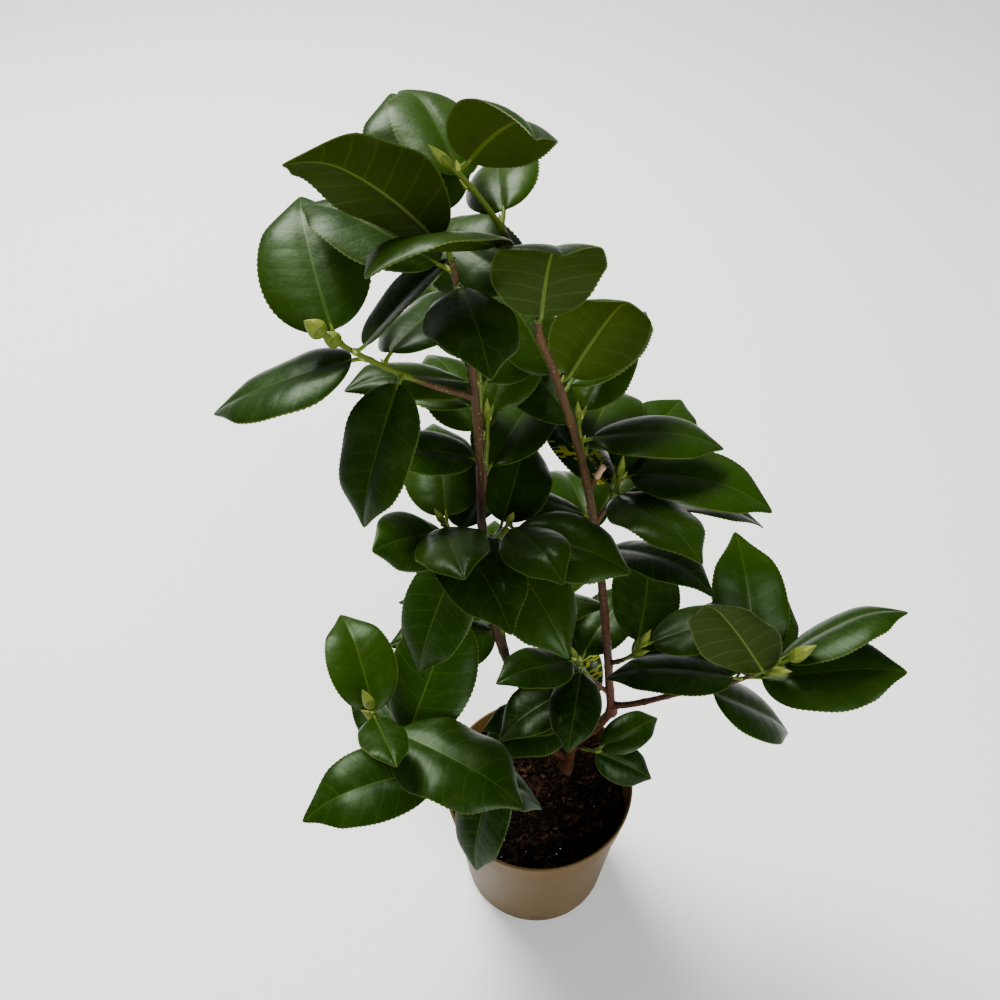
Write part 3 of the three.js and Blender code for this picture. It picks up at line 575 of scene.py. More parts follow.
class Finish:
    """A material built round one Principled shader, whose constant values are set on its own
    sockets and whose varying ones are wired in."""

    def __init__(self, name, **constants):
        self.material = bpy.data.materials.new(name)
        self.material.use_nodes = True
        self.tree = self.material.node_tree
        self.shader = self.tree.nodes["Principled BSDF"]
        for label, value in constants.items():
            self.shader.inputs[label.replace("_", " ")].default_value = value

    def node(self, kind, settings, values, output=0):
        """Adds a node: first its settings, then the values or links of its sockets."""
        node = self.tree.nodes.new(kind)
        for label, value in settings.items():
            setattr(node, label, value)
        for label, value in values.items():
            if isinstance(value, Wire):
                self.tree.links.new(value.socket, node.inputs[label])
            else:
                node.inputs[label].default_value = value
        return Wire(self, node.outputs[output])

    def feed(self, label, wire):
        """Wires a value into one of the shader's own sockets."""
        self.tree.links.new(wire.socket, self.shader.inputs[label])

    def place(self):
        """Where a point is on the object."""
        return self.node("ShaderNodeTexCoord", {}, {}, "Object")

    def height(self):
        """How high a point is over the ground, in metres."""
        return self.node("ShaderNodeSeparateXYZ", {}, {0: self.place()}, "Z")

    def noise(self, scale, detail=3.0, roughness=0.55, stretch=(1, 1, 1)):
        """Soft noise. A small number in stretch draws it out along that axis."""
        spread = self.node("ShaderNodeMapping", {}, {"Vector": self.place(), "Scale": stretch})
        values = dict(Vector=spread, Scale=scale, Detail=detail, Roughness=roughness)
        return self.node("ShaderNodeTexNoise", {}, values, 0)

    def spots(self, scale, near, far):
        """1 close to scattered points and 0 away from them."""
        values = dict(Vector=self.place(), Scale=scale)
        reach = self.node("ShaderNodeTexVoronoi", {}, values, "Distance")
        return self.fit(reach, near, far, 1.0, 0.0)

    def fit(self, value, low, high, first=0.0, last=1.0):
        """Brings the range from low to high to the one from first to last, and holds it there."""
        values = {0: value, 1: low, 2: high, 3: first, 4: last}
        return self.node("ShaderNodeMapRange", dict(clamp=True), values)

    def band(self, rise, fall):
        """1 at the heights between two ranges, over which it rises and falls."""
        return self.fit(self.height(), *rise) * self.fit(self.height(), *fall, 1.0, 0.0)

    def mix(self, share, first, last):
        """The colour a share of the way from the first to the last."""
        settings = dict(data_type="RGBA", blend_type="MIX", clamp_factor=True)
        return self.node("ShaderNodeMix", settings, {0: share, 6: first, 7: last}, 2)

    def bump(self, value, strength, reach):
        """Makes the surface look raised by a value, over a reach in metres."""
        values = dict(Height=value, Strength=strength, Distance=reach)
        self.feed("Normal", self.node("ShaderNodeBump", {}, values))


def shade(colour, factor=1.0, lean=(1, 1, 1)):
    """A colour made darker or lighter and leant towards one hue, with a full alpha."""
    return tuple(min(1.0, c * factor * l) for c, l in zip(colour, lean)) + (1.0,)


def leaf_finish(name, colour, roughness, dust=0.0, coat=0.0, mottle=0.22):
    """Waxy leaf skin: a mottled green with fine paler pores and a soft unevenness. Where dust
    lies on it, in a bloom and in specks, it is paler and rougher."""
    finish = Finish(name, Coat_Weight=coat, Coat_Roughness=0.24, Specular_IOR_Level=0.11,
                    Specular_Tint=(0.6, 0.95, 0.45, 1.0))
    broad, fine = finish.noise(38.0, 2.0), finish.noise(420.0, 2.0)
    tone = finish.mix(broad, shade(colour, 1 - mottle), shade(colour, 1 + mottle, (1.08, 1, 0.8)))
    tone = finish.mix(finish.fit(fine, 0.45, 0.8, 0.0, 0.35), tone, shade(colour, 1.35))
    if dust:
        worn = finish.fit(finish.noise(75.0, 5.0, 0.7), 0.5, 0.75) * dust
        worn = worn + finish.spots(330.0, 0.08, 0.16) * (0.6 * dust)
        tone = finish.mix(worn, tone, (0.055, 0.078, 0.022, 1.0))
        finish.feed("Roughness", worn * 0.35 + broad * 0.14 + fine * 0.1 + (roughness - 0.12))
    else:
        finish.feed("Roughness", broad * 0.12 + (roughness - 0.06))
    finish.feed("Base Color", tone)
    finish.bump(finish.noise(120.0, 3.0) + fine * 0.12, 0.3, 0.0011)
    return finish.material


def bark_finish(name, colour, light, roughness=0.72):
    """Bark: long streaks of a darker and a lighter brown, pale corky specks and fine cracks."""
    finish = Finish(name, Specular_IOR_Level=0.18)
    streak = finish.noise(160.0, 5.0, 0.65, (1, 1, 0.22))
    tone = finish.mix(finish.fit(streak, 0.35, 0.68), shade(colour, 0.6), shade(colour, 1.25))
    corky = finish.spots(340.0, 0.1, 0.24)
    finish.feed("Base Color", finish.mix(corky * 0.6, tone, shade(light)))
    finish.feed("Roughness", streak * 0.3 + (roughness - 0.15))
    finish.bump(streak + corky * 0.4, 0.5, 0.0005)
    return finish.material


def pot_finish(name, colour, step):
    """Recycled plastic: one tan with darker and paler specks, a faint drag of the mould round
    it, a painted shadow under the band's step, which is at height step, and a painted highlight
    on its edge, soil dust that thins upwards from the foot, and a soft matte sheen."""
    finish = Finish(name, Specular_IOR_Level=0.14)
    cloud = finish.noise(14.0, 4.0, 0.6)
    drag = finish.noise(90.0, 3.0, 0.6, (1, 1, 6))
    tone = finish.mix(cloud, shade(colour, 0.9), shade(colour, 1.12))
    tone = finish.mix(finish.fit(drag, 0.3, 0.75, 0.0, 0.3), tone, shade(colour, 0.82))
    tone = finish.mix(finish.spots(520.0, 0.12, 0.22) * 0.55, tone, shade(colour, 0.5))
    tone = finish.mix(finish.spots(330.0, 0.08, 0.16) * 0.5, tone, shade(colour, 1.7))
    # painted shadow: a darker band just below the band's step
    under = finish.band((step - 0.009, step - 0.002), (step + 0.0001, step + 0.0005))
    tone = finish.mix(under * 0.6, tone, shade(colour, 0.4))
    # painted highlight: a paler band just above the band's step
    lit = finish.band((step + 0.0004, step + 0.0009), (step + 0.0014, step + 0.003))
    tone = finish.mix(lit * 0.45, tone, shade(colour, 1.5))
    foot = finish.fit(finish.height(), 0.0, 0.05, 1.0, 0.0)
    dirt = finish.fit(finish.noise(60.0, 6.0, 0.75), 0.5, 0.72) * (foot * 0.6 + 0.12)
    finish.feed("Base Color", finish.mix(dirt, tone, (0.06, 0.035, 0.018, 1.0)))
    finish.feed("Roughness", cloud * 0.1 + dirt * 0.25 + 0.46)
    finish.bump(drag * 0.5 + finish.noise(700.0, 2.0), 0.22, 0.0002)
    return finish.material


def soil_finish(name, colour, light, grain=260.0):
    """Damp peat: near-black crumbs with browner fibres, rough, and smoother where it is damp."""
    finish = Finish(name, Specular_IOR_Level=0.06)
    crumb = finish.noise(grain, 6.0, 0.7)
    fibre = finish.fit(finish.noise(grain * 1.7, 3.0, 0.6, (1, 0.3, 1)), 0.56, 0.72)
    tone = finish.mix(finish.fit(crumb, 0.35, 0.7), shade(colour, 0.55), shade(colour, 1.5))
    finish.feed("Base Color", finish.mix(fibre * 0.6, tone, shade(light)))
    finish.feed("Roughness", finish.fit(crumb, 0.3, 0.6, 0.62, 0.95))
    finish.bump(crumb, 0.9, 0.0012)
    return finish.material


# ---- shells and pieces ----

def sheet(top, bottom):
    """A thin closed sheet from two grids of points. Its cells are those of the top, then those
    of the bottom turned over, row by row, and last a wall of cells round all four edges."""
    rows, columns = top.shape[:2]
    index = np.arange(rows * columns).reshape(rows, columns)
    cells = (index[:-1, :-1], index[:-1, 1:], index[1:, 1:], index[1:, :-1])
    cells = np.stack(cells, -1).reshape(-1, 4)
    loop = (index[0, :-1], index[:-1, -1], index[-1, :0:-1], index[:0:-1, 0])
    loop = np.concatenate(loop)
    after, under = np.roll(loop, -1), rows * columns
    walls = np.stack((after, loop, loop + under, after + under), -1)
    points = np.vstack((top.reshape(-1, 3), bottom.reshape(-1, 3)))
    return points, np.vstack((cells, cells[:, ::-1] + under, walls))


MOST_TRIANGLES = 199000


class Batch:
    """Shells of one kind, gathered to be joined into one piece. Each group of faces in a shell
    has a code, or one code a face, for the finish that it takes."""

    def __init__(self):
        self.points, self.faces, self.codes, self.count = [], [], [], 0

    def add(self, points, faces, codes=0):
        """Adds a shell: its points, one or more arrays of its faces, and their codes."""
        faces = faces if isinstance(faces, tuple) else (faces,)
        codes = codes if isinstance(codes, tuple) else (codes,) * len(faces)
        for part, code in zip(faces, codes):
            self.faces.append(part + self.count)
            self.codes.append(np.broadcast_to(code, len(part)))
        self.points.append(points)
        self.count += len(points)

    def shell(self, rings, foot, tip, codes=0):
        """Adds a closed shell of rings with a point at each end."""
        points, cells, fans = closed(rings, foot, tip)
        self.add(points, (cells, fans), codes)

    def piece(self, name, finishes, slot, nodes, sharp=50):
        """Joins the shells into one mesh, in metres, and sets it on the frame."""
        points = np.concatenate(self.points) * MM
        totals = np.concatenate([np.full(len(part), part.shape[1]) for part in self.faces])
        if (totals - 2).sum() >= MOST_TRIANGLES:
            raise RuntimeError(f"{name} has too many faces")
        mesh = bpy.data.meshes.new(name)
        loops = np.concatenate([part.ravel() for part in self.faces])
        mesh.vertices.add(len(points))
        mesh.vertices.foreach_set("co", points.ravel().astype(np.float32))
        mesh.loops.add(len(loops))
        mesh.loops.foreach_set("vertex_index", loops.astype(np.int32))
        mesh.polygons.add(len(totals))
        starts = np.concatenate(((0,), np.cumsum(totals)[:-1]))
        mesh.polygons.foreach_set("loop_start", starts.astype(np.int32))
        mesh.polygons.foreach_set("use_smooth", np.ones(len(totals), bool))
        for finish in finishes:
            mesh.materials.append(finish)
        codes = np.concatenate(self.codes).astype(np.int32)
        mesh.polygons.foreach_set("material_index", codes)
        mesh.update(calc_edges=True)
        mesh.validate()
        mesh.set_sharp_from_angle(angle=math.radians(sharp))
        thing = bpy.data.objects.new(name, mesh)
        bpy.context.scene.collection.objects.link(thing)
        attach(thing, "root")
        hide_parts(*nodes)


def grown_or_stop():
    """The grown shrub, after a test that the frame has the same nodes."""
    plant = grown()
    missing = {*plant.limbs, *plant.leaves, "pot", "soil"} ^ set(frame["nodes"])
    if missing:
        raise RuntimeError(f"the frame and the growth rule differ: {sorted(missing)}")
    return plant


# ---- leaves ----

ROWS = 96
COLUMNS = 15
RIB = COLUMNS // 2
VEIN_ROWS = 12
VEIN_STARTS = (7, 2)
TOOTH_ROWS = 3
TOPS = 5
UNDERS = 3
RIB_TOP, RIB_UNDER, VEIN_TOP, VEIN_UNDER, MARGIN, BLOTCH = range(TOPS + UNDERS, TOPS + UNDERS + 6)


def spread(rows, columns):
    """Smooth chance from 0 to 1 over the cells of a leaf: seeded draws on a grid of so many rows
    and columns, with straight blends between them."""
    draw = seeded(90 + rows)
    grid = np.array([[draw(0, 1) for _ in range(columns)] for _ in range(rows)])
    down, over = np.linspace(0, rows - 1.001, ROWS), np.linspace(0, columns - 1.001, COLUMNS)
    i, j = down.astype(int), over.astype(int)
    p, q = (down - i)[:, None], over - j
    near = grid[i][:, j] * (1 - q) + grid[i][:, j + 1] * q
    far = grid[i + 1][:, j] * (1 - q) + grid[i + 1][:, j + 1] * q
    return near * (1 - p) + far * p


def leaf_sheet(leaf, look):
    """A leaf as a closed sheet. Rows run from midrib to margin along the side veins: row T meets
    column v at share t = T + lead (0.75 v + 0.25 v^3) 4 T (1 - T). The skin swells between the
    veins as the sine of the way from one to the next, sinks along the midrib on top and stands
    up on it below, and the margin has a tooth every three rows that rises slowly and drops at
    once. Gives the points, the cells and a finish for each cell."""
    row = np.arange(ROWS + 1)
    middle = 0.0006 + 0.9988 * (row / ROWS) ** 1.18
    half = leaf.width / 2 * outline(middle)
    rib = np.minimum(0.3, 0.85 * (1 - 0.72 * middle) / half)[:, None]
    edge = np.minimum(0.25, 0.36 / half)[:, None]
    inner = np.array((0, 0.13, 0.3, 0.48, 0.66, 0.84, 1.0))
    v = np.hstack((rib + (1 - edge - rib) * inner, np.ones((ROWS + 1, 1))))
    lead = look.vein_lead * (0.75 * v + 0.25 * v**3)
    t = middle[:, None] + lead * 4 * (middle * (1 - middle))[:, None]
    tooth = np.array((0, 0.55, 1.0))[row % TOOTH_ROWS] * smooth((middle - 0.06) / 0.1)
    local = np.maximum(0.4, leaf.width / 2 * outline(t[:, -1]))
    v[:, -1] += look.tooth_depth / MM * tooth * smooth(local / 5) / local
    v, t = np.hstack((-v[:, ::-1], v)), np.hstack((t[:, ::-1], t))

    span = np.append(np.sin(np.pi * inner) ** 0.7, 0)
    full = smooth(half / 9)
    swells, crossed = [], []
    for start in VEIN_STARTS:
        step, order = (row - start) % VEIN_ROWS, (row - start) // VEIN_ROWS
        swell = np.sin(np.pi * np.clip((step - 1) / (VEIN_ROWS - 1), 0, 1)) ** 0.8
        swell = swell * (0.6 + 0.4 * np.sin(2.3 * order + leaf.width))
        swells.append((np.where(row < start, 0, swell) * full)[:, None])
        crossed.append((step == 0)[:-1, None])
    bulge = np.hstack((swells[0] * span[::-1], swells[1] * span)) * look.quilting / MM
    vein = np.hstack(((1 - swells[0]) * span[::-1], (1 - swells[1]) * span)) * full[:, None]

    centre = blade(leaf, np.clip(t, 0.0006, 0.9996), v)
    down_rows, over_columns = np.gradient(centre, axis=0), np.gradient(centre, axis=1)
    up = np.cross(over_columns, down_rows)
    size = np.linalg.norm(up, axis=-1, keepdims=True)
    up = np.where(size > 1e-6, up / np.maximum(size, 1e-6), leaf.face)
    thick = np.full(COLUMNS + 1, look.thickness / MM / 2)
    thick[[0, -1]] *= 0.35
    on_rib = np.zeros(COLUMNS + 1)
    on_rib[RIB:RIB + 2] = 1
    fade = (1 - 0.75 * middle)[:, None] * on_rib
    top = centre + up * (thick + bulge - 0.3 * fade)[..., None]
    below = thick - 0.8 * bulge + 0.75 * fade + 0.12 * vein
    points, cells = sheet(top, centre - up * below[..., None])

    veins = np.zeros((ROWS, COLUMNS), bool)
    veins[:, 1:RIB], veins[:, RIB + 1:-1] = crossed
    veins[:2] = False
    upper, lower = np.full(veins.shape, leaf.shade), np.full(veins.shape, TOPS + leaf.shade // 2)
    upper[veins], lower[veins] = VEIN_TOP, VEIN_UNDER
    upper[:, RIB], lower[:, RIB] = RIB_TOP, RIB_UNDER
    if leaf.blotched:
        patch = spread(64, 15) + 0.45 * spread(31, 9) + 0.8 * spread(6, 4)
        upper[patch > 1.36] = BLOTCH
    upper[:, [0, -1]] = lower[:, [0, -1]] = MARGIN
    walls = np.full(len(cells) - 2 * upper.size, MARGIN)
    return points, cells, np.concatenate((upper.ravel(), lower.ravel(), walls))


def deal_shades(plant):
    """Gives each leaf one of the greens: young leaves and high ones lighter, by a seeded draw,
    and marks the two leaves with yellow blotches."""
    draw = seeded(4711)
    for name in SHOOT_NAMES:
        for leaf in plant.leaves[name]:
            height = smooth((leaf.base[2] - 180) / 420)
            place = 0.7 + 0.9 * (1 - height) + 1.2 * (1 - leaf.rank) + draw(0, 1.6)
            leaf.shade = int(np.clip(round(4 - place), 0, TOPS - 1))
            leaf.blotched = leaf.place in (("centre_shoot", 2), ("middle_shoot", 2))


def leaf_finishes(look):
    """The finishes of a leaf's cells, in the order of their codes."""
    top, under = look.top_colour, look.under_colour
    greens = [(0.55, (0.75, 0.95, 1.2)), (0.76, (0.88, 1, 1.1)), (1.0, (1, 1, 1)),
              (1.28, (1.12, 1, 0.9)), (1.6, (1.25, 1.02, 0.8))]
    finishes = [
        leaf_finish(f"leaf_green_{n + 1}", shade(top, factor, lean), 0.36, 0.28 - 0.05 * n, 0.04)
        for n, (factor, lean) in enumerate(greens)]
    finishes += [leaf_finish(f"leaf_underside_{n + 1}", shade(under, factor), 0.52)
                 for n, factor in enumerate((0.75, 1.0, 1.3))]
    return finishes + [leaf_finish(name, colour, roughness, 0, 0.1, 0.1)
                       for name, colour, roughness in (
        ("midrib_top", look.vein_colour, 0.4), ("midrib_underside", look.rib_colour, 0.5),
        ("side_veins_top", shade(top, 1.1), 0.4),
        ("side_veins_underside", shade(under, 1.12), 0.52),
        ("leaf_margin", look.margin_colour, 0.5), ("yellow_blotch", look.blotch_colour, 0.38))]


# ---- tubes: stalks, stems and limbs ----

def tube(batch, centres, radii, sides, across=(0, 1, 0), codes=0, tip=0.9):
    """A closed round tube: rings along a path, and an end rounded over by two rings that
    shrink, with a point at each end. codes is one finish, or one for each ring or cell."""
    along = unit(np.gradient(centres, axis=0))
    ends = radii[-1] if np.ndim(radii[-1]) == 0 else radii[-1].mean()
    extra = centres[-1] + along[-1] * (np.array((0.5, 0.8)) * tip * ends)[:, None]
    table = np.array([np.broadcast_to(r, sides) for r in radii])
    table = np.vstack((table, table[-1:] * 0.86, table[-1:] * 0.5))
    path = np.vstack((centres, extra))
    ways = np.vstack((along, along[-1:], along[-1:]))
    rings = rings_round(path, ways, table, sides, across)
    if np.ndim(codes):
        codes = np.broadcast_to(codes.reshape(len(codes), -1), (len(codes), sides))
        codes = (np.vstack((codes, codes[-1:])).ravel(), codes[-1, 0])
    batch.shell(rings, centres[0], centres[-1] + along[-1] * tip * ends, codes)


def ragged(shares, border, sides, seed):
    """1 past a share of a limb and 0 before it, cell by cell: the border runs up and down round
    the limb as the sum of two sines, so that one bark goes over into the next in streaks."""
    place = np.arange(sides)
    border = border + 0.03 * np.sin(2.4 * place + seed) + 0.02 * np.sin(5.3 * place * seed)
    return (shares[:, None] > border).astype(int)


def bark_rise(length, angle, seed, depth):
    """Rise of the bark in millimetres: ridges along the limb that wander round it, as sines of
    three turns and five turns, and a finer ripple across."""
    a, b, c = (seed * 1.7, seed * 2.9, seed * 4.1)
    ridge = np.sin(3 * angle + 0.06 * length + a) + np.sin(5 * angle - 0.11 * length + b)
    cross = np.sin(1.9 * length + 2 * np.sin(2 * angle + c)) * np.sin(angle + 0.3 * length)
    return depth * (0.4 * ridge + 0.3 * cross)


def knuckles(length, places, height, width):
    """Rings that stand out where leaves once grew: a bell of the distance to each."""
    gap = length[:, None] - np.asarray(places, float)[None]
    return (height * np.exp(-((gap / width) ** 2))).sum(1)


def woody_path(line, parent, spec, fineness):
    """Centres along a limb or stem, led back into the middle of what carries it, with the length
    along it from its start and the share of it that each centre has reached."""
    span = np.linalg.norm(np.diff(line.at(np.linspace(0, 1, 40)), axis=0), axis=1).sum()
    shares = np.linspace(0, 1, max(6, int(span / fineness)))
    centres = line.at(shares)
    if parent:
        begin = parent.at(min(spec["at"], 0.995))
        lead = begin + (centres[0] - begin) * np.linspace(0, 0.8, 4)[:, None]
        shares = np.concatenate((np.zeros(4), shares))
        centres = np.vstack((lead, centres))
    steps = np.linalg.norm(np.diff(centres, axis=0), axis=1)
    return centres, np.concatenate(((0,), np.cumsum(steps))), shares


def limb_piece(plant, name, look, border):
    """A limb's bark: its own taper, swollen where it leaves its parent and where leaves grew,
    with ridges. The trunk flares in three lobes at the compost."""
    order = [entry["name"] for entry in LIMBS].index(name)
    spec, sides = LIMBS[order], 20 if name == "trunk" else 16
    line, parent = plant.limbs[name], plant.limbs.get(spec.get("parent"))
    centres, length, shares = woody_path(line, parent, spec, look.ring_step / MM)
    angle = round_about(sides)
    radius = line.radius(shares)
    if name == "trunk":
        flare = np.exp(-shares / 0.13)
        lobes = 1 + 0.14 * flare[:, None] * np.cos(3 * angle + 0.7)
        radius = (radius + 1.7 * flare)[:, None] * lobes
        centres = np.vstack((centres[:1] - (0, 0, 4), centres))
        radius, length = np.vstack((radius[:1], radius)), np.append(-4, length)
        shares = np.append(0, shares)
    else:
        collar = 1 + 0.45 * np.exp(-((length / (2.2 * line.radii[0])) ** 2))
        radius = (radius * collar)[:, None] * np.ones(sides)
    draw = seeded(211 + 17 * order)
    places = np.cumsum([draw(17, 34) for _ in range(int(length[-1] / 17) + 1)])
    radius = radius + knuckles(length, places, 0.42, 1.5)[:, None]
    depth = look.relief / MM * np.minimum(1, radius.mean(1) / 2.5)[:, None]
    radius = radius + bark_rise(length[:, None], angle, order + 1, depth)
    batch = Batch()
    codes = 0 if border is None else ragged(shares, border, sides, order)
    tube(batch, centres, radius, sides, codes=codes)
    return batch


def stems_piece(plant, look):
    """The leafy stems, joined: each runs back into its limb, swells where a leaf sits on it, and
    turns from brown bark to green towards its tip."""
    batch, sides = Batch(), 12
    angle = round_about(sides)
    for index, spec in enumerate(SHOOTS):
        stem, limb = plant.stems[spec["name"]], plant.limbs[spec["limb"]]
        centres, length, shares = woody_path(stem, limb, spec, 1.2)
        radius = stem.radius(shares)
        radius = radius * (1 + 0.5 * np.exp(-((length / 4) ** 2)))
        total = length[-1]
        places = [total * leaf.share for leaf in plant.leaves[spec["name"]]]
        radius = (radius + knuckles(length, places, 0.4, 1.6))[:, None] * np.ones(sides)
        radius = radius + bark_rise(length[:, None], angle, index + 9, 0.5 * look.relief / MM)
        green = ragged(shares, 0.35 if spec["at"] < 1 else 0.6, sides, index)
        tube(batch, centres, radius, sides, codes=green)
    return batch


def stalks_piece(plant, look):
    """The leaf stalks, joined: each leaves the stem sideways, bends into the way of its blade
    and runs out along the underside of the midrib, thinner all the way."""
    batch = Batch()
    for name in SHOOT_NAMES:
        stem = plant.stems[name]
        for leaf in plant.leaves[name]:
            start = leaf.root + leaf.foot * 0.4 * stem.radius(leaf.share)
            end = blade(leaf, 0.05, 0) - leaf.face * 0.35
            reach = np.linalg.norm(end - start) / 2.6
            t = np.linspace(0, 1, 14)[:, None]
            s = 1 - t
            near, far = start + leaf.foot * reach, end - leaf.way * reach
            path = start * s**3 + near * 3 * s * s * t + far * 3 * s * t * t + end * t**3
            fat = look.stalk_radius / MM * (0.92 + 0.85 * np.exp(-t[:, 0] / 0.14))
            fat[-4:] *= np.array((0.95, 0.85, 0.7, 0.5))
            tube(batch, path, fat, 9, tuple(leaf.side + 0.01))
    return batch


def bud_profile(share):
    """How full a bud is at share u of its length, with a rounded foot and a drawn tip: 1.12
    sin(pi u^0.72)^0.8 (1 - 0.35 smooth u)."""
    return np.sin(np.pi * np.clip(share, 0, 1) ** 0.72) ** 0.8 * (1 - 0.35 * smooth(share)) * 1.12


def wrap(foot, way, length, radius, share, angle, full):
    """Points on a bud: foot + way * length * share, out by radius * profile * full."""
    side = unit(np.cross(way, (0.3, 1, 0.1)))
    front = np.cross(way, side)
    out = side * np.cos(angle)[..., None] + front * np.sin(angle)[..., None]
    reach = radius * bud_profile(share) * full
    return foot + way * (length * share)[..., None] + out * reach[..., None]


def bud_shells(batch, foot, way, length, radius, scales):
    """A scaly bud: a smooth heart, and scales that overlap like tiles, each a pointed oval
    wrapped on the bud and turned 137.5 degrees from the last, the outer ones shorter."""
    share, angle = np.linspace(0.03, 0.985, 12), round_about(14)
    heart = wrap(foot, way, length, radius, share[:, None], angle[None] + 0 * share[:, None], 0.9)
    batch.shell(heart, foot, foot + way * length, 1)
    for k in range(scales):
        inward = k / max(1, scales - 1)
        low, high = 0.02 + 0.22 * inward, 0.42 + 0.56 * inward**0.8
        along = np.linspace(0, 1, 9)[:, None]
        over = np.linspace(-1, 1, 8)[None]
        width = 1.25 * np.sin(np.pi * (0.12 + 0.86 * along)) ** 0.55 * (1 - 0.25 * inward)
        turn = math.radians(137.5) * k + over * width
        place = low + (high - low) * (along - 0.06 * over**2 * (1 - along)) + 0 * over
        flare = 0.98 + 0.05 * (1 - inward) + 0.03 * along**2 + 0.02 * over**2
        outer = wrap(foot, way, length, radius, place, turn, flare * (1 + 0.04 * (1 - over**2)))
        inner = wrap(foot, way, length, radius, place, turn, flare - 0.04)
        points, cells = sheet(outer, inner)
        batch.add(points, cells, 0 if k < scales // 3 else 1 if k < scales - 2 else 2)


def buds_piece(plant, look):
    """The end buds and flower buds with their scales, and a small plain bud in each leaf's
    armpit, a pointed oval pressed to the stem."""
    batch = Batch()
    for name in SHOOT_NAMES:
        stem = plant.stems[name]
        for foot, way, length, radius in plant.buds[name]:
            bud_shells(batch, foot, way, length, 0.84 * radius, look.scales)
        for leaf in plant.leaves[name]:
            way = unit(stem.tangent(leaf.share) + leaf.out * 0.55)
            foot = leaf.root + leaf.out * stem.radius(leaf.share) * 0.75
            length = 3.4 + 2.6 * leaf.rank
            bud_shells(batch, foot, way, length, 0.27 * length, 2)
    return batch


def stub_piece(plant):
    """A stem pruned back beside the tall bough: start + way * step + bend * (step / length)^2,
    a short tube with a flat end, and dry past its middle."""
    start, way, length = plant.limbs["tall_bough"].at(0.665), direction(25, 62), 17
    steps, batch = np.linspace(0, length, 14), Batch()
    bend = np.array((0.3, 0, 0.4)) * (steps[:, None] / length) ** 2
    path = start + way * steps[:, None] + bend
    fat = STEM_RADIUS + 0.25 * np.sin(steps * 1.3)
    tube(batch, path, fat, 12, codes=(steps > 8).astype(int), tip=0.12)
    return batch


# ---- pot and compost ----

def wall_radius(z):
    """The pot's outer radius at a height, which runs evenly from foot to lip."""
    return blend((POT_FOOT_RADIUS, POT_RADIUS - BAND_STEP), z / POT_HEIGHT)


def band_radius(z):
    """The band's outer radius at a height: the wall's and the step."""
    return wall_radius(z) + BAND_STEP


def rounded(profile, reach, steps=4):
    """A profile whose corners are turned on small arcs: each corner becomes points of the curve
    (1 - t)^2 a + 2 t (1 - t) corner + t^2 b, with a and b a little way off along its sides."""
    profile = np.asarray(profile, float)
    before = np.roll(profile, 1, 0)
    after = np.roll(profile, -1, 0)
    out = [profile[:1]]
    t = np.linspace(0, 1, steps)[:, None]
    for a, b, c in zip(before[1:-1], profile[1:-1], after[1:-1]):
        ra, rc = np.linalg.norm(a - b), np.linalg.norm(c - b)
        near, far = b + (a - b) * min(0.42, reach / ra), b + (c - b) * min(0.42, reach / rc)
        out.append(near * (1 - t) ** 2 + b * 2 * t * (1 - t) + far * t**2)
    return np.vstack((*out, profile[-1:]))


def turned(batch, profile, sides, wobble):
    """Turns a profile of radius and height about the pot's axis: x = r cos, y = r sin, with the
    wall out of round by a soft wave of two and three lobes that fades towards the foot."""
    r, z = profile[1:-1].T
    angle = round_about(sides)
    lobes = np.sin(2 * angle + 0.6) + 0.6 * np.sin(3 * angle + 2.1)
    out = r[:, None] + wobble * smooth(z / POT_HEIGHT)[:, None] * lobes
    rings = np.stack((out * np.cos(angle), out * np.sin(angle), z[:, None] + 0 * out), -1)
    batch.shell(rings, (0, 0, profile[0, 1]), (0, 0, profile[-1, 1]))


POT_SIDES = 180


def pot_profile():
    """The pot's section from the middle of its underside, up the outside, over the lip and down
    to the middle of its floor: a shallow ring under the foot, a tapering wall, a step up to the
    band and a beaded lip."""
    foot, top = POT_HEIGHT - BAND_HEIGHT, POT_HEIGHT
    return [
        (0, 1.1), (24, 1.1), (25.5, 0.2), (28, 0.2), (29.5, 1.1), (47, 1.1), (49, 0),
        (wall_radius(0) - 2.2, 0), (wall_radius(0) - 0.3, 1.4), (wall_radius(3), 3),
        (wall_radius(foot) - 0.1, foot - 0.4), (band_radius(foot) - 0.2, foot + 0.5),
        (band_radius(foot + 1), foot + 1.6), (band_radius(top - 4), top - 4.2),
        (band_radius(top - 3) + 0.6, top - 3), (band_radius(top) + 0.6, top - 0.9),
        (band_radius(top) - 0.1, top), (band_radius(top) - 1.2, top - 0.1),
        (band_radius(top) - POT_WALL, top - 1), (band_radius(foot + 3) - POT_WALL, foot + 3),
        (wall_radius(foot - 1) - POT_WALL, foot - 1), (wall_radius(6) - POT_WALL, 6),
        (wall_radius(POT_FLOOR) - POT_WALL - 2, POT_FLOOR + 0.6), (0, POT_FLOOR + 0.6),
    ]


SOIL_RIM = wall_radius(SOIL_LEVEL - 6) - POT_WALL


def soil_top(x, y):
    """Height of the compost: its level, dipping towards the wall as the sixth power of the
    radius, less a ripple of crossed sines, and level close round the trunk."""
    calm = np.clip((np.hypot(x - 22, y - 17) - 9) / 8, 0, 1)
    ripple = np.sin(0.31 * x + 1.3 * np.sin(0.19 * y)) * np.sin(0.27 * y + 0.6)
    dip = 2.2 * (np.hypot(x, y) / (SOIL_RIM - GAP)) ** 6
    return SOIL_LEVEL - calm * (dip + SOIL_LUMP * (0.5 - 0.5 * ripple))


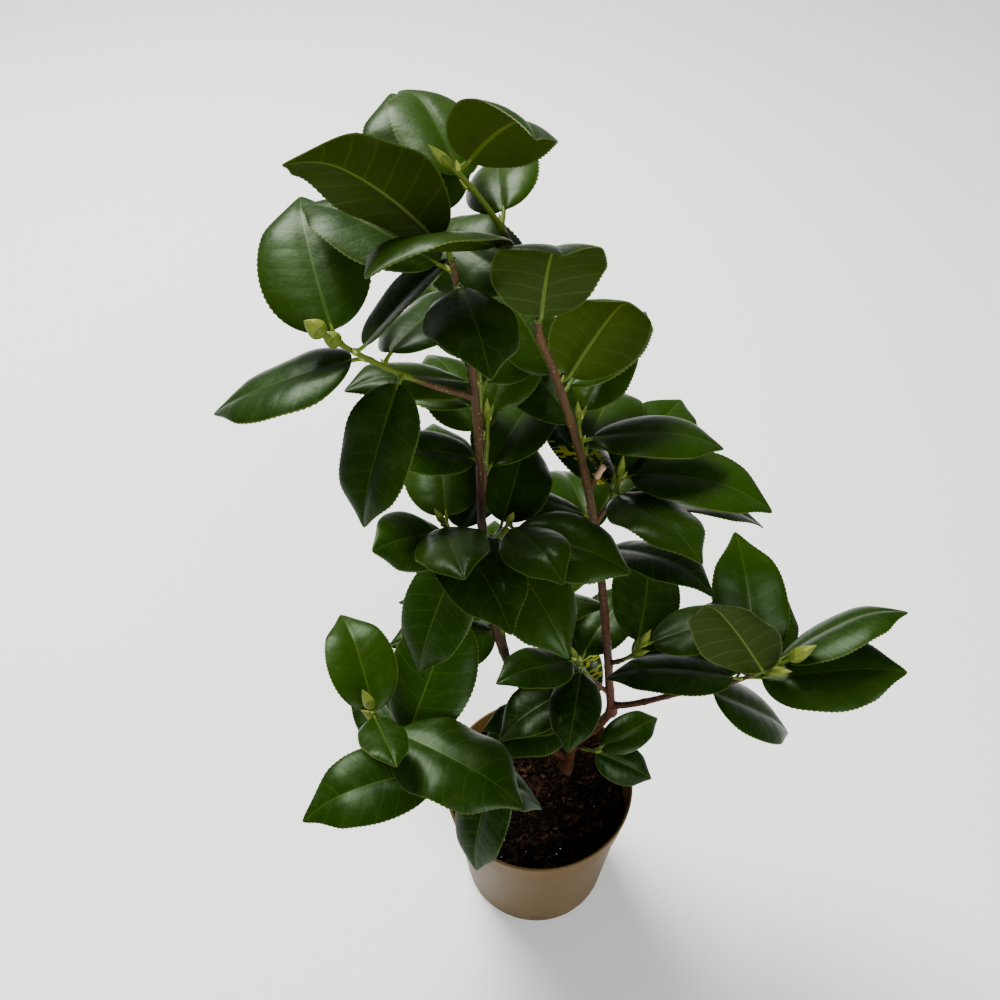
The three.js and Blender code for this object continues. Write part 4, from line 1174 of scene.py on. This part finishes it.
def compost_bed():
    """The bed of compost: rings of points from under the rim in to the middle, at the soil's
    height plus clods, which are products of sines a few millimetres across."""
    rim = SOIL_RIM - 0.1
    radius = np.append(np.full(1, rim), rim * np.linspace(1, 0.02, 60))
    angle = round_about(200)
    x, y = radius[:, None] * np.cos(angle), radius[:, None] * np.sin(angle)
    clods = np.sin(1.1 * x + 2 * np.sin(0.43 * y)) * np.sin(0.9 * y + 1.7 * np.sin(0.5 * x))
    fine = np.sin(2.7 * x + y) * np.sin(2.3 * y - 1.4 * x)
    z = soil_top(x, y) + 0.55 * clods + 0.25 * fine
    z[0] = SOIL_LEVEL - 14
    z[1] = np.minimum(z[1], SOIL_LEVEL - 2.5)
    batch = Batch()
    batch.shell(np.stack((x, y, z), -1), (0, 0, z[0, 0]), (0, 0, soil_top(0, 0)))
    return batch


def nugget():
    """The twelve points and twenty triangles of a ball of equal triangles, from the golden
    ratio, with its faces outwards."""
    g = (1 + 5**0.5) / 2
    flat = [(s, t * g) for s in (-1, 1) for t in (-1, 1)]
    points = np.array([(0, a, b) for a, b in flat] + [(a, b, 0) for a, b in flat]
                      + [(b, 0, a) for a, b in flat]) / math.hypot(1, g)
    gaps = np.linalg.norm(points[:, None] - points[None], axis=-1)
    near = (gaps > 0.1) & (gaps < 1.2)
    faces = []
    for a, b, c in combinations(range(12), 3):
        if near[a, b] and near[b, c] and near[a, c]:
            out = np.cross(points[b] - points[a], points[c] - points[a]) @ points[a]
            faces.append((a, b, c) if out > 0 else (a, c, b))
    return points, np.array(faces)


def scatter(batch, chance, count, sizes, stretch, code, sink=0.15):
    """Lumps strewn over the compost: one ball of twenty faces, each copy jittered, stretched,
    turned at random and set on the soil's height. All copies are worked out at once."""
    ball, faces = nugget()
    reach = (SOIL_RIM - 2.2) * np.sqrt(chance.random(count))
    heading = 2 * np.pi * chance.random(count)
    x, y = reach * np.cos(heading), reach * np.sin(heading)
    size = sizes[0] + (sizes[1] - sizes[0]) * chance.random(count) ** 2.2
    lumps = ball[None] * (1 + 0.25 * chance.standard_normal((count, 12, 1)).clip(-1.5, 1.5))
    long = 1 + (np.array(stretch) - 1) * (0.5 + 0.5 * chance.random((count, 1)))
    lumps = lumps * long[:, None] * size[:, None, None]
    yaw, tilt = 2 * np.pi * chance.random(count), chance.normal(0, 0.35, count)
    cy, sy, ct, st = np.cos(yaw), np.sin(yaw), np.cos(tilt), np.sin(tilt)
    zero = 0 * yaw
    spin = np.array(((cy * ct, -sy, cy * st), (sy * ct, cy, sy * st), (-st, zero, ct)))
    lumps = np.einsum("abn,nkb->nka", spin, lumps)
    height = soil_top(x, y) + size * np.abs(long[:, 2]) * (1 - 2 * sink)
    lumps = lumps + np.stack((x, y, height), -1)[:, None]
    batch.add(lumps.reshape(-1, 3), (faces[None] + 12 * np.arange(count)[:, None, None])
              .reshape(-1, 3), code)


def crumbs_piece(look):
    """Crumbs, bark chips and pale grit strewn on the bed, and coarse fibres that lie in arcs."""
    chance, batch = np.random.default_rng(look.seed), Batch()
    scatter(batch, chance, look.crumbs, (0.45, 2.1), (1.25, 1.0, 0.8), 0)
    scatter(batch, chance, look.chips, (0.8, 2.0), (3.4, 1.2, 0.4), 1)
    scatter(batch, chance, look.chips // 3, (0.8, 1.8), (2.6, 0.9, 0.5), 2)
    scatter(batch, chance, 26, (0.4, 0.95), (1.1, 1.0, 0.7), 3, 0.3)
    for _ in range(look.fibres):
        heading, away = chance.random(2) * (2 * np.pi, 44)
        yaw, bend, length = chance.random(3) * (2 * np.pi, 2.4, 14) + (0, -1.2, 8)
        t = np.linspace(-0.5, 0.5, 9)
        x = away * np.cos(heading) + length * t * np.cos(yaw + bend * t)
        y = away * np.sin(heading) + length * t * np.sin(yaw + bend * t)
        z = soil_top(x, y) + 0.8 + 2.2 * np.maximum(0, t * (1 if bend > 0 else -1)) ** 2
        tube(batch, np.stack((x, y, z), 1), 0.14 + 0.16 * (0.5 - np.abs(t)), 5, codes=2)
    return batch


# ---- what a user may change ----

def distance(name, description, default, low, high):
    """A length in metres."""
    return FloatProperty(name=name, description=description, default=default, min=low, max=high,
                         subtype="DISTANCE", unit="LENGTH")


def tint(name, description, default):
    """A colour, as linear red, green and blue."""
    return FloatVectorProperty(name=name, description=description, default=default, size=3,
                               min=0, max=1, subtype="COLOR")


def number(name, description, default, low=0, high=10000):
    """A whole number."""
    return IntProperty(name=name, description=description, default=default, min=low, max=high)


def strength(name, description, default, unit="NONE"):
    """A light's power or strength."""
    return FloatProperty(name=name, description=description, default=default, min=0, unit=unit)


class CamelliaPotLook(bpy.types.PropertyGroup):
    out_of_round: distance("Out of round", "How far the soft wall strays from a true circle",
                           0.0003, 0, 0.002)
    corner: distance("Corner radius", "How far the moulded corners are rounded over",
                     0.0006, 0.0001, 0.002)
    colour: tint("Plastic", "Colour of the pot's plastic", (0.088, 0.05, 0.0115))


class CamelliaSoilLook(bpy.types.PropertyGroup):
    crumbs: number("Crumbs", "How many crumbs lie on the compost", 2600)
    chips: number("Bark chips", "How many flat chips of bark lie on it", 420)
    fibres: number("Fibres", "How many loose fibres lie on it", 70)
    seed: number("Seed", "Start of the random run", 19)
    colour: tint("Peat", "Colour of the compost", (0.0026, 0.0015, 0.0007))
    chip_colour: tint("Chips", "Colour of the bark chips", (0.016, 0.0072, 0.0032))


class CamelliaWoodLook(bpy.types.PropertyGroup):
    relief: distance("Bark relief", "Depth of the ridges in the bark", 0.00028, 0, 0.001)
    ring_step: distance("Ring step", "Distance from ring to ring along a limb",
                        0.0016, 0.0005, 0.01)
    stalk_radius: distance("Stalk radius", "Radius of a leaf stalk at its middle",
                           0.00105, 0.0004, 0.002)
    old_colour: tint("Old bark", "Colour of the left bough", (0.026, 0.0115, 0.0052))
    red_colour: tint("Red bark", "Colour of the trunk and the boughs on the right",
                     (0.046, 0.0145, 0.0042))
    tan_colour: tint("Young bark", "Colour of this year's wood", (0.056, 0.028, 0.008))
    green_colour: tint("Green stem", "Colour of soft stems and leaf stalks",
                       (0.06, 0.092, 0.011))


class CamelliaLeafLook(bpy.types.PropertyGroup):
    thickness: distance("Thickness", "Thickness of the blade between its veins",
                        0.0006, 0.0003, 0.002)
    tooth_depth: distance("Tooth depth", "How far the teeth of the margin stand out",
                          0.00055, 0, 0.002)
    quilting: distance("Quilting", "How far the skin swells between the side veins",
                       0.00012, 0, 0.002)
    vein_lead: FloatProperty(
        name="Vein lead", description="Share of the blade's length that a side vein runs forward",
        default=0.15, min=0, max=0.2, subtype="FACTOR")
    top_colour: tint("Top", "Middle green of the upper faces", (0.0098, 0.0275, 0.0006))
    under_colour: tint("Underside", "Middle green of the undersides", (0.0185, 0.0345, 0.0005))
    vein_colour: tint("Midrib", "Colour of the midrib on top", (0.023, 0.047, 0.004))
    rib_colour: tint("Keel", "Colour of the midrib underneath", (0.05, 0.08, 0.006))
    margin_colour: tint("Margin", "Colour of the toothed margin", (0.036, 0.058, 0.009))
    blotch_colour: tint("Blotch", "Colour of the yellow blotches on two leaves",
                        (0.28, 0.3, 0.008))


class CamelliaBudLook(bpy.types.PropertyGroup):
    scales: number("Scales", "How many scales wrap a flower bud", 9, 3, 14)
    outer_colour: tint("Outer scales", "Colour of the lowest scales", (0.07, 0.1, 0.012))
    scale_colour: tint("Scales colour", "Colour of most of the scales", (0.125, 0.165, 0.024))
    tip_colour: tint("Inner scales", "Colour of the scales at the tip", (0.24, 0.28, 0.055))


class CamelliaStageLook(bpy.types.PropertyGroup):
    floor_colour: tint("Floor", "Colour of the plain floor", (0.93, 0.93, 0.925))
    key_power: strength("Key light", "Power of the broad light overhead", 140.0, "POWER")
    fill_power: strength("Fill light", "Power of the light in front", 54.0, "POWER")
    sky: strength("Sky", "Strength of the even light all round", 0.27)


LOOKS = {
    "camellia_pot": CamelliaPotLook,
    "camellia_soil": CamelliaSoilLook,
    "camellia_wood": CamelliaWoodLook,
    "camellia_leaf": CamelliaLeafLook,
    "camellia_bud": CamelliaBudLook,
    "camellia_stage": CamelliaStageLook,
}


# ---- operators ----

class CAMELLIA_OT_pot(bpy.types.Operator):
    """Turn the nursery pot with its foot, tapering wall, band and lip"""
    bl_idname = "camellia.pot"
    bl_label = "Pot"

    def execute(self, context):
        look, batch = context.scene.camellia_pot, Batch()
        profile = rounded(pot_profile(), look.corner / MM)
        turned(batch, profile, POT_SIDES, look.out_of_round / MM)
        step = (POT_HEIGHT - BAND_HEIGHT) * MM
        finish = pot_finish("tan_recycled_plastic", look.colour, step)
        batch.piece("nursery_pot", [finish], "pot_plastic", ["pot"], 60)
        return {"FINISHED"}


class CAMELLIA_OT_compost(bpy.types.Operator):
    """Fill the pot with compost and strew crumbs, bark chips, grit and fibres on it"""
    bl_idname = "camellia.compost"
    bl_label = "Compost"

    def execute(self, context):
        look = context.scene.camellia_soil
        peat, chip = look.colour, look.chip_colour
        finish = soil_finish("damp_peat", peat, chip)
        compost_bed().piece("compost_bed", [finish], "compost", ["soil"])
        finishes = [soil_finish(name, colour, light, grain) for name, colour, light, grain in (
            ("peat_crumbs", shade(peat, 1.25), chip, 420.0),
            ("bark_chips", chip, shade(chip, 2.4), 300.0),
            ("straw_fibres", shade(chip, 3.0), shade(chip, 5.0), 300.0),
            ("pale_grit", (0.5, 0.44, 0.33), (0.7, 0.66, 0.55), 300.0))]
        crumbs_piece(look).piece("compost_crumbs", finishes, "compost", ["soil"], 20)
        return {"FINISHED"}


class CAMELLIA_OT_boughs(bpy.types.Operator):
    """Grow the bark of the trunk and its boughs"""
    bl_idname = "camellia.boughs"
    bl_label = "Trunk and boughs"

    def execute(self, context):
        look, plant = context.scene.camellia_wood, grown_or_stop()
        old = bark_finish("old_bark", look.old_colour, (0.1, 0.055, 0.03))
        red = bark_finish("red_bark", look.red_colour, (0.17, 0.085, 0.04), 0.6)
        tan = bark_finish("young_bark", look.tan_colour, (0.22, 0.14, 0.06), 0.62)
        for name, finishes, border in (
            ("trunk", [red], None), ("left_bough", [old, tan], 0.74),
            ("right_bough", [red], None), ("tall_bough", [red, tan], 0.42),
            ("side_bough", [red, tan], 0.8), ("low_bough", [red], None),
        ):
            batch = limb_piece(plant, name, look, border)
            batch.piece(f"{name}_bark", finishes, "bark", [name], 75)
        dry = bark_finish("dry_wood", (0.42, 0.27, 0.15), (0.6, 0.45, 0.3), 0.75)
        stub_piece(plant).piece("pruned_stub", [tan, dry], "bark", ["tall_bough"])
        return {"FINISHED"}


class CAMELLIA_OT_stems(bpy.types.Operator):
    """Grow the leafy stems and the leaf stalks"""
    bl_idname = "camellia.stems"
    bl_label = "Stems and stalks"

    def execute(self, context):
        look, plant = context.scene.camellia_wood, grown_or_stop()
        brown = bark_finish("stem_bark", look.tan_colour, (0.2, 0.13, 0.06), 0.6)
        green = leaf_finish("green_stem", look.green_colour, 0.45, 0, 0.1)
        stems_piece(plant, look).piece("leafy_stems", [brown, green], "bark", SHOOT_NAMES, 75)
        stalk = leaf_finish("green_stalk", shade(look.green_colour, 1.25), 0.42, 0, 0.15)
        stalks_piece(plant, look).piece("leaf_stalks", [stalk], "foliage", SHOOT_NAMES, 75)
        return {"FINISHED"}


class CAMELLIA_OT_leaves(bpy.types.Operator):
    """Unfold every leaf, joined into pieces by where its shoot stands"""
    bl_idname = "camellia.leaves"
    bl_label = "Leaves"

    def execute(self, context):
        look, plant = context.scene.camellia_leaf, grown_or_stop()
        deal_shades(plant)
        finishes = leaf_finishes(look)
        for name, shoots in LEAF_GROUPS.items():
            batch = Batch()
            for shoot in shoots:
                for leaf in plant.leaves[shoot]:
                    batch.add(*leaf_sheet(leaf, look))
            batch.piece(name, finishes, "foliage", shoots, 55)
        return {"FINISHED"}


class CAMELLIA_OT_buds(bpy.types.Operator):
    """Set the scaly end buds, flower buds and side buds"""
    bl_idname = "camellia.buds"
    bl_label = "Buds"

    def execute(self, context):
        look, plant = context.scene.camellia_bud, grown_or_stop()
        finishes = [leaf_finish(name, colour, 0.5, 0, 0.05, 0.15) for name, colour in (
            ("outer_bud_scales", look.outer_colour), ("bud_scales", look.scale_colour),
            ("inner_bud_scales", look.tip_colour))]
        buds_piece(plant, look).piece("buds", finishes, "foliage", SHOOT_NAMES, 60)
        return {"FINISHED"}


CAMERA_PLACE = (-0.0292, -0.3859, 0.8586)
CAMERA_TILT = 42.8
CAMERA_LENS = 37.98
FLOOR_REACH = 6


def soft_light(name, place, aim, size, power, colour):
    """Hangs a round soft light at a place, turned to shine at its aim."""
    lamp = bpy.data.lights.new(name, "AREA")
    lamp.shape, lamp.size, lamp.energy, lamp.color = "DISK", size, power, colour
    thing = bpy.data.objects.new(name, lamp)
    thing.location = place
    away = np.array(place, float) - np.array(aim, float)
    level = math.hypot(away[0], away[1])
    thing.rotation_euler = (math.atan2(level, away[2]), 0, math.atan2(away[0], -away[1]))
    bpy.context.scene.collection.objects.link(thing)


class CAMELLIA_OT_stage(bpy.types.Operator):
    """Lay the plain floor and set the soft lights and the camera"""
    bl_idname = "camellia.stage"
    bl_label = "Stage"

    def execute(self, context):
        look = context.scene.camellia_stage
        mesh, r = bpy.data.meshes.new("floor"), FLOOR_REACH
        mesh.from_pydata([(-r, -r, 0), (r, -r, 0), (r, r, 0), (-r, r, 0)], [], [(0, 1, 2, 3)])
        floor = bpy.data.objects.new("floor", mesh)
        context.scene.collection.objects.link(floor)
        colour = shade(look.floor_colour)
        mesh.materials.append(Finish("pale_floor", Base_Color=colour, Roughness=0.9).material)
        soft_light("overhead", (-0.75, 1.15, 2.1), (0, 0, 0.3), 1.3, look.key_power,
                   (1, 0.99, 0.97))
        soft_light("front", (0.9, -1.8, 1.2), (0, 0, 0.35), 1.4, look.fill_power, (0.95, 0.98, 1))
        world = bpy.data.worlds.new("soft_daylight")
        world.use_nodes = True
        sky = world.node_tree.nodes["Background"].inputs
        sky["Color"].default_value, sky["Strength"].default_value = (0.97, 0.99, 1, 1), look.sky
        context.scene.world = world
        lens = bpy.data.cameras.new("camera")
        lens.lens, lens.sensor_width, lens.clip_start = CAMERA_LENS, 36, 0.01
        camera = bpy.data.objects.new("camera", lens)
        camera.location = CAMERA_PLACE
        camera.rotation_euler = (math.radians(CAMERA_TILT), 0, 0)
        context.scene.collection.objects.link(camera)
        context.scene.camera = camera
        return {"FINISHED"}


OPERATORS = (
    CAMELLIA_OT_pot, CAMELLIA_OT_compost, CAMELLIA_OT_boughs, CAMELLIA_OT_stems,
    CAMELLIA_OT_leaves, CAMELLIA_OT_buds, CAMELLIA_OT_stage,
)


class CAMELLIA_PT_panel(bpy.types.Panel):
    """Lists the shrub's pieces and what may be changed on them"""
    bl_label = "Potted camellia"
    bl_idname = "CAMELLIA_PT_panel"
    bl_space_type = "VIEW_3D"
    bl_region_type = "UI"
    bl_category = "Camellia"

    def draw(self, context):
        for operator in OPERATORS:
            self.layout.operator(operator.bl_idname)
        for name, look in LOOKS.items():
            box = self.layout.box()
            for label in look.__annotations__:
                box.prop(getattr(context.scene, name), label)


def register():
    """Makes the looks, the operators and the panel known."""
    for part in (*LOOKS.values(), *OPERATORS, CAMELLIA_PT_panel):
        bpy.utils.register_class(part)
    for name, look in LOOKS.items():
        setattr(bpy.types.Scene, name, PointerProperty(type=look))


def unregister():
    """Takes them away again."""
    for name in LOOKS:
        delattr(bpy.types.Scene, name)
    for part in reversed((*LOOKS.values(), *OPERATORS, CAMELLIA_PT_panel)):
        bpy.utils.unregister_class(part)


def main():
    """Registers the add-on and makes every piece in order."""
    register()
    for operator in OPERATORS:
        group, name = operator.bl_idname.split(".")
        if getattr(getattr(bpy.ops, group), name)() != {"FINISHED"}:
            raise RuntimeError(f"{operator.bl_label} did not finish")


if __name__ == "__main__":
    main()
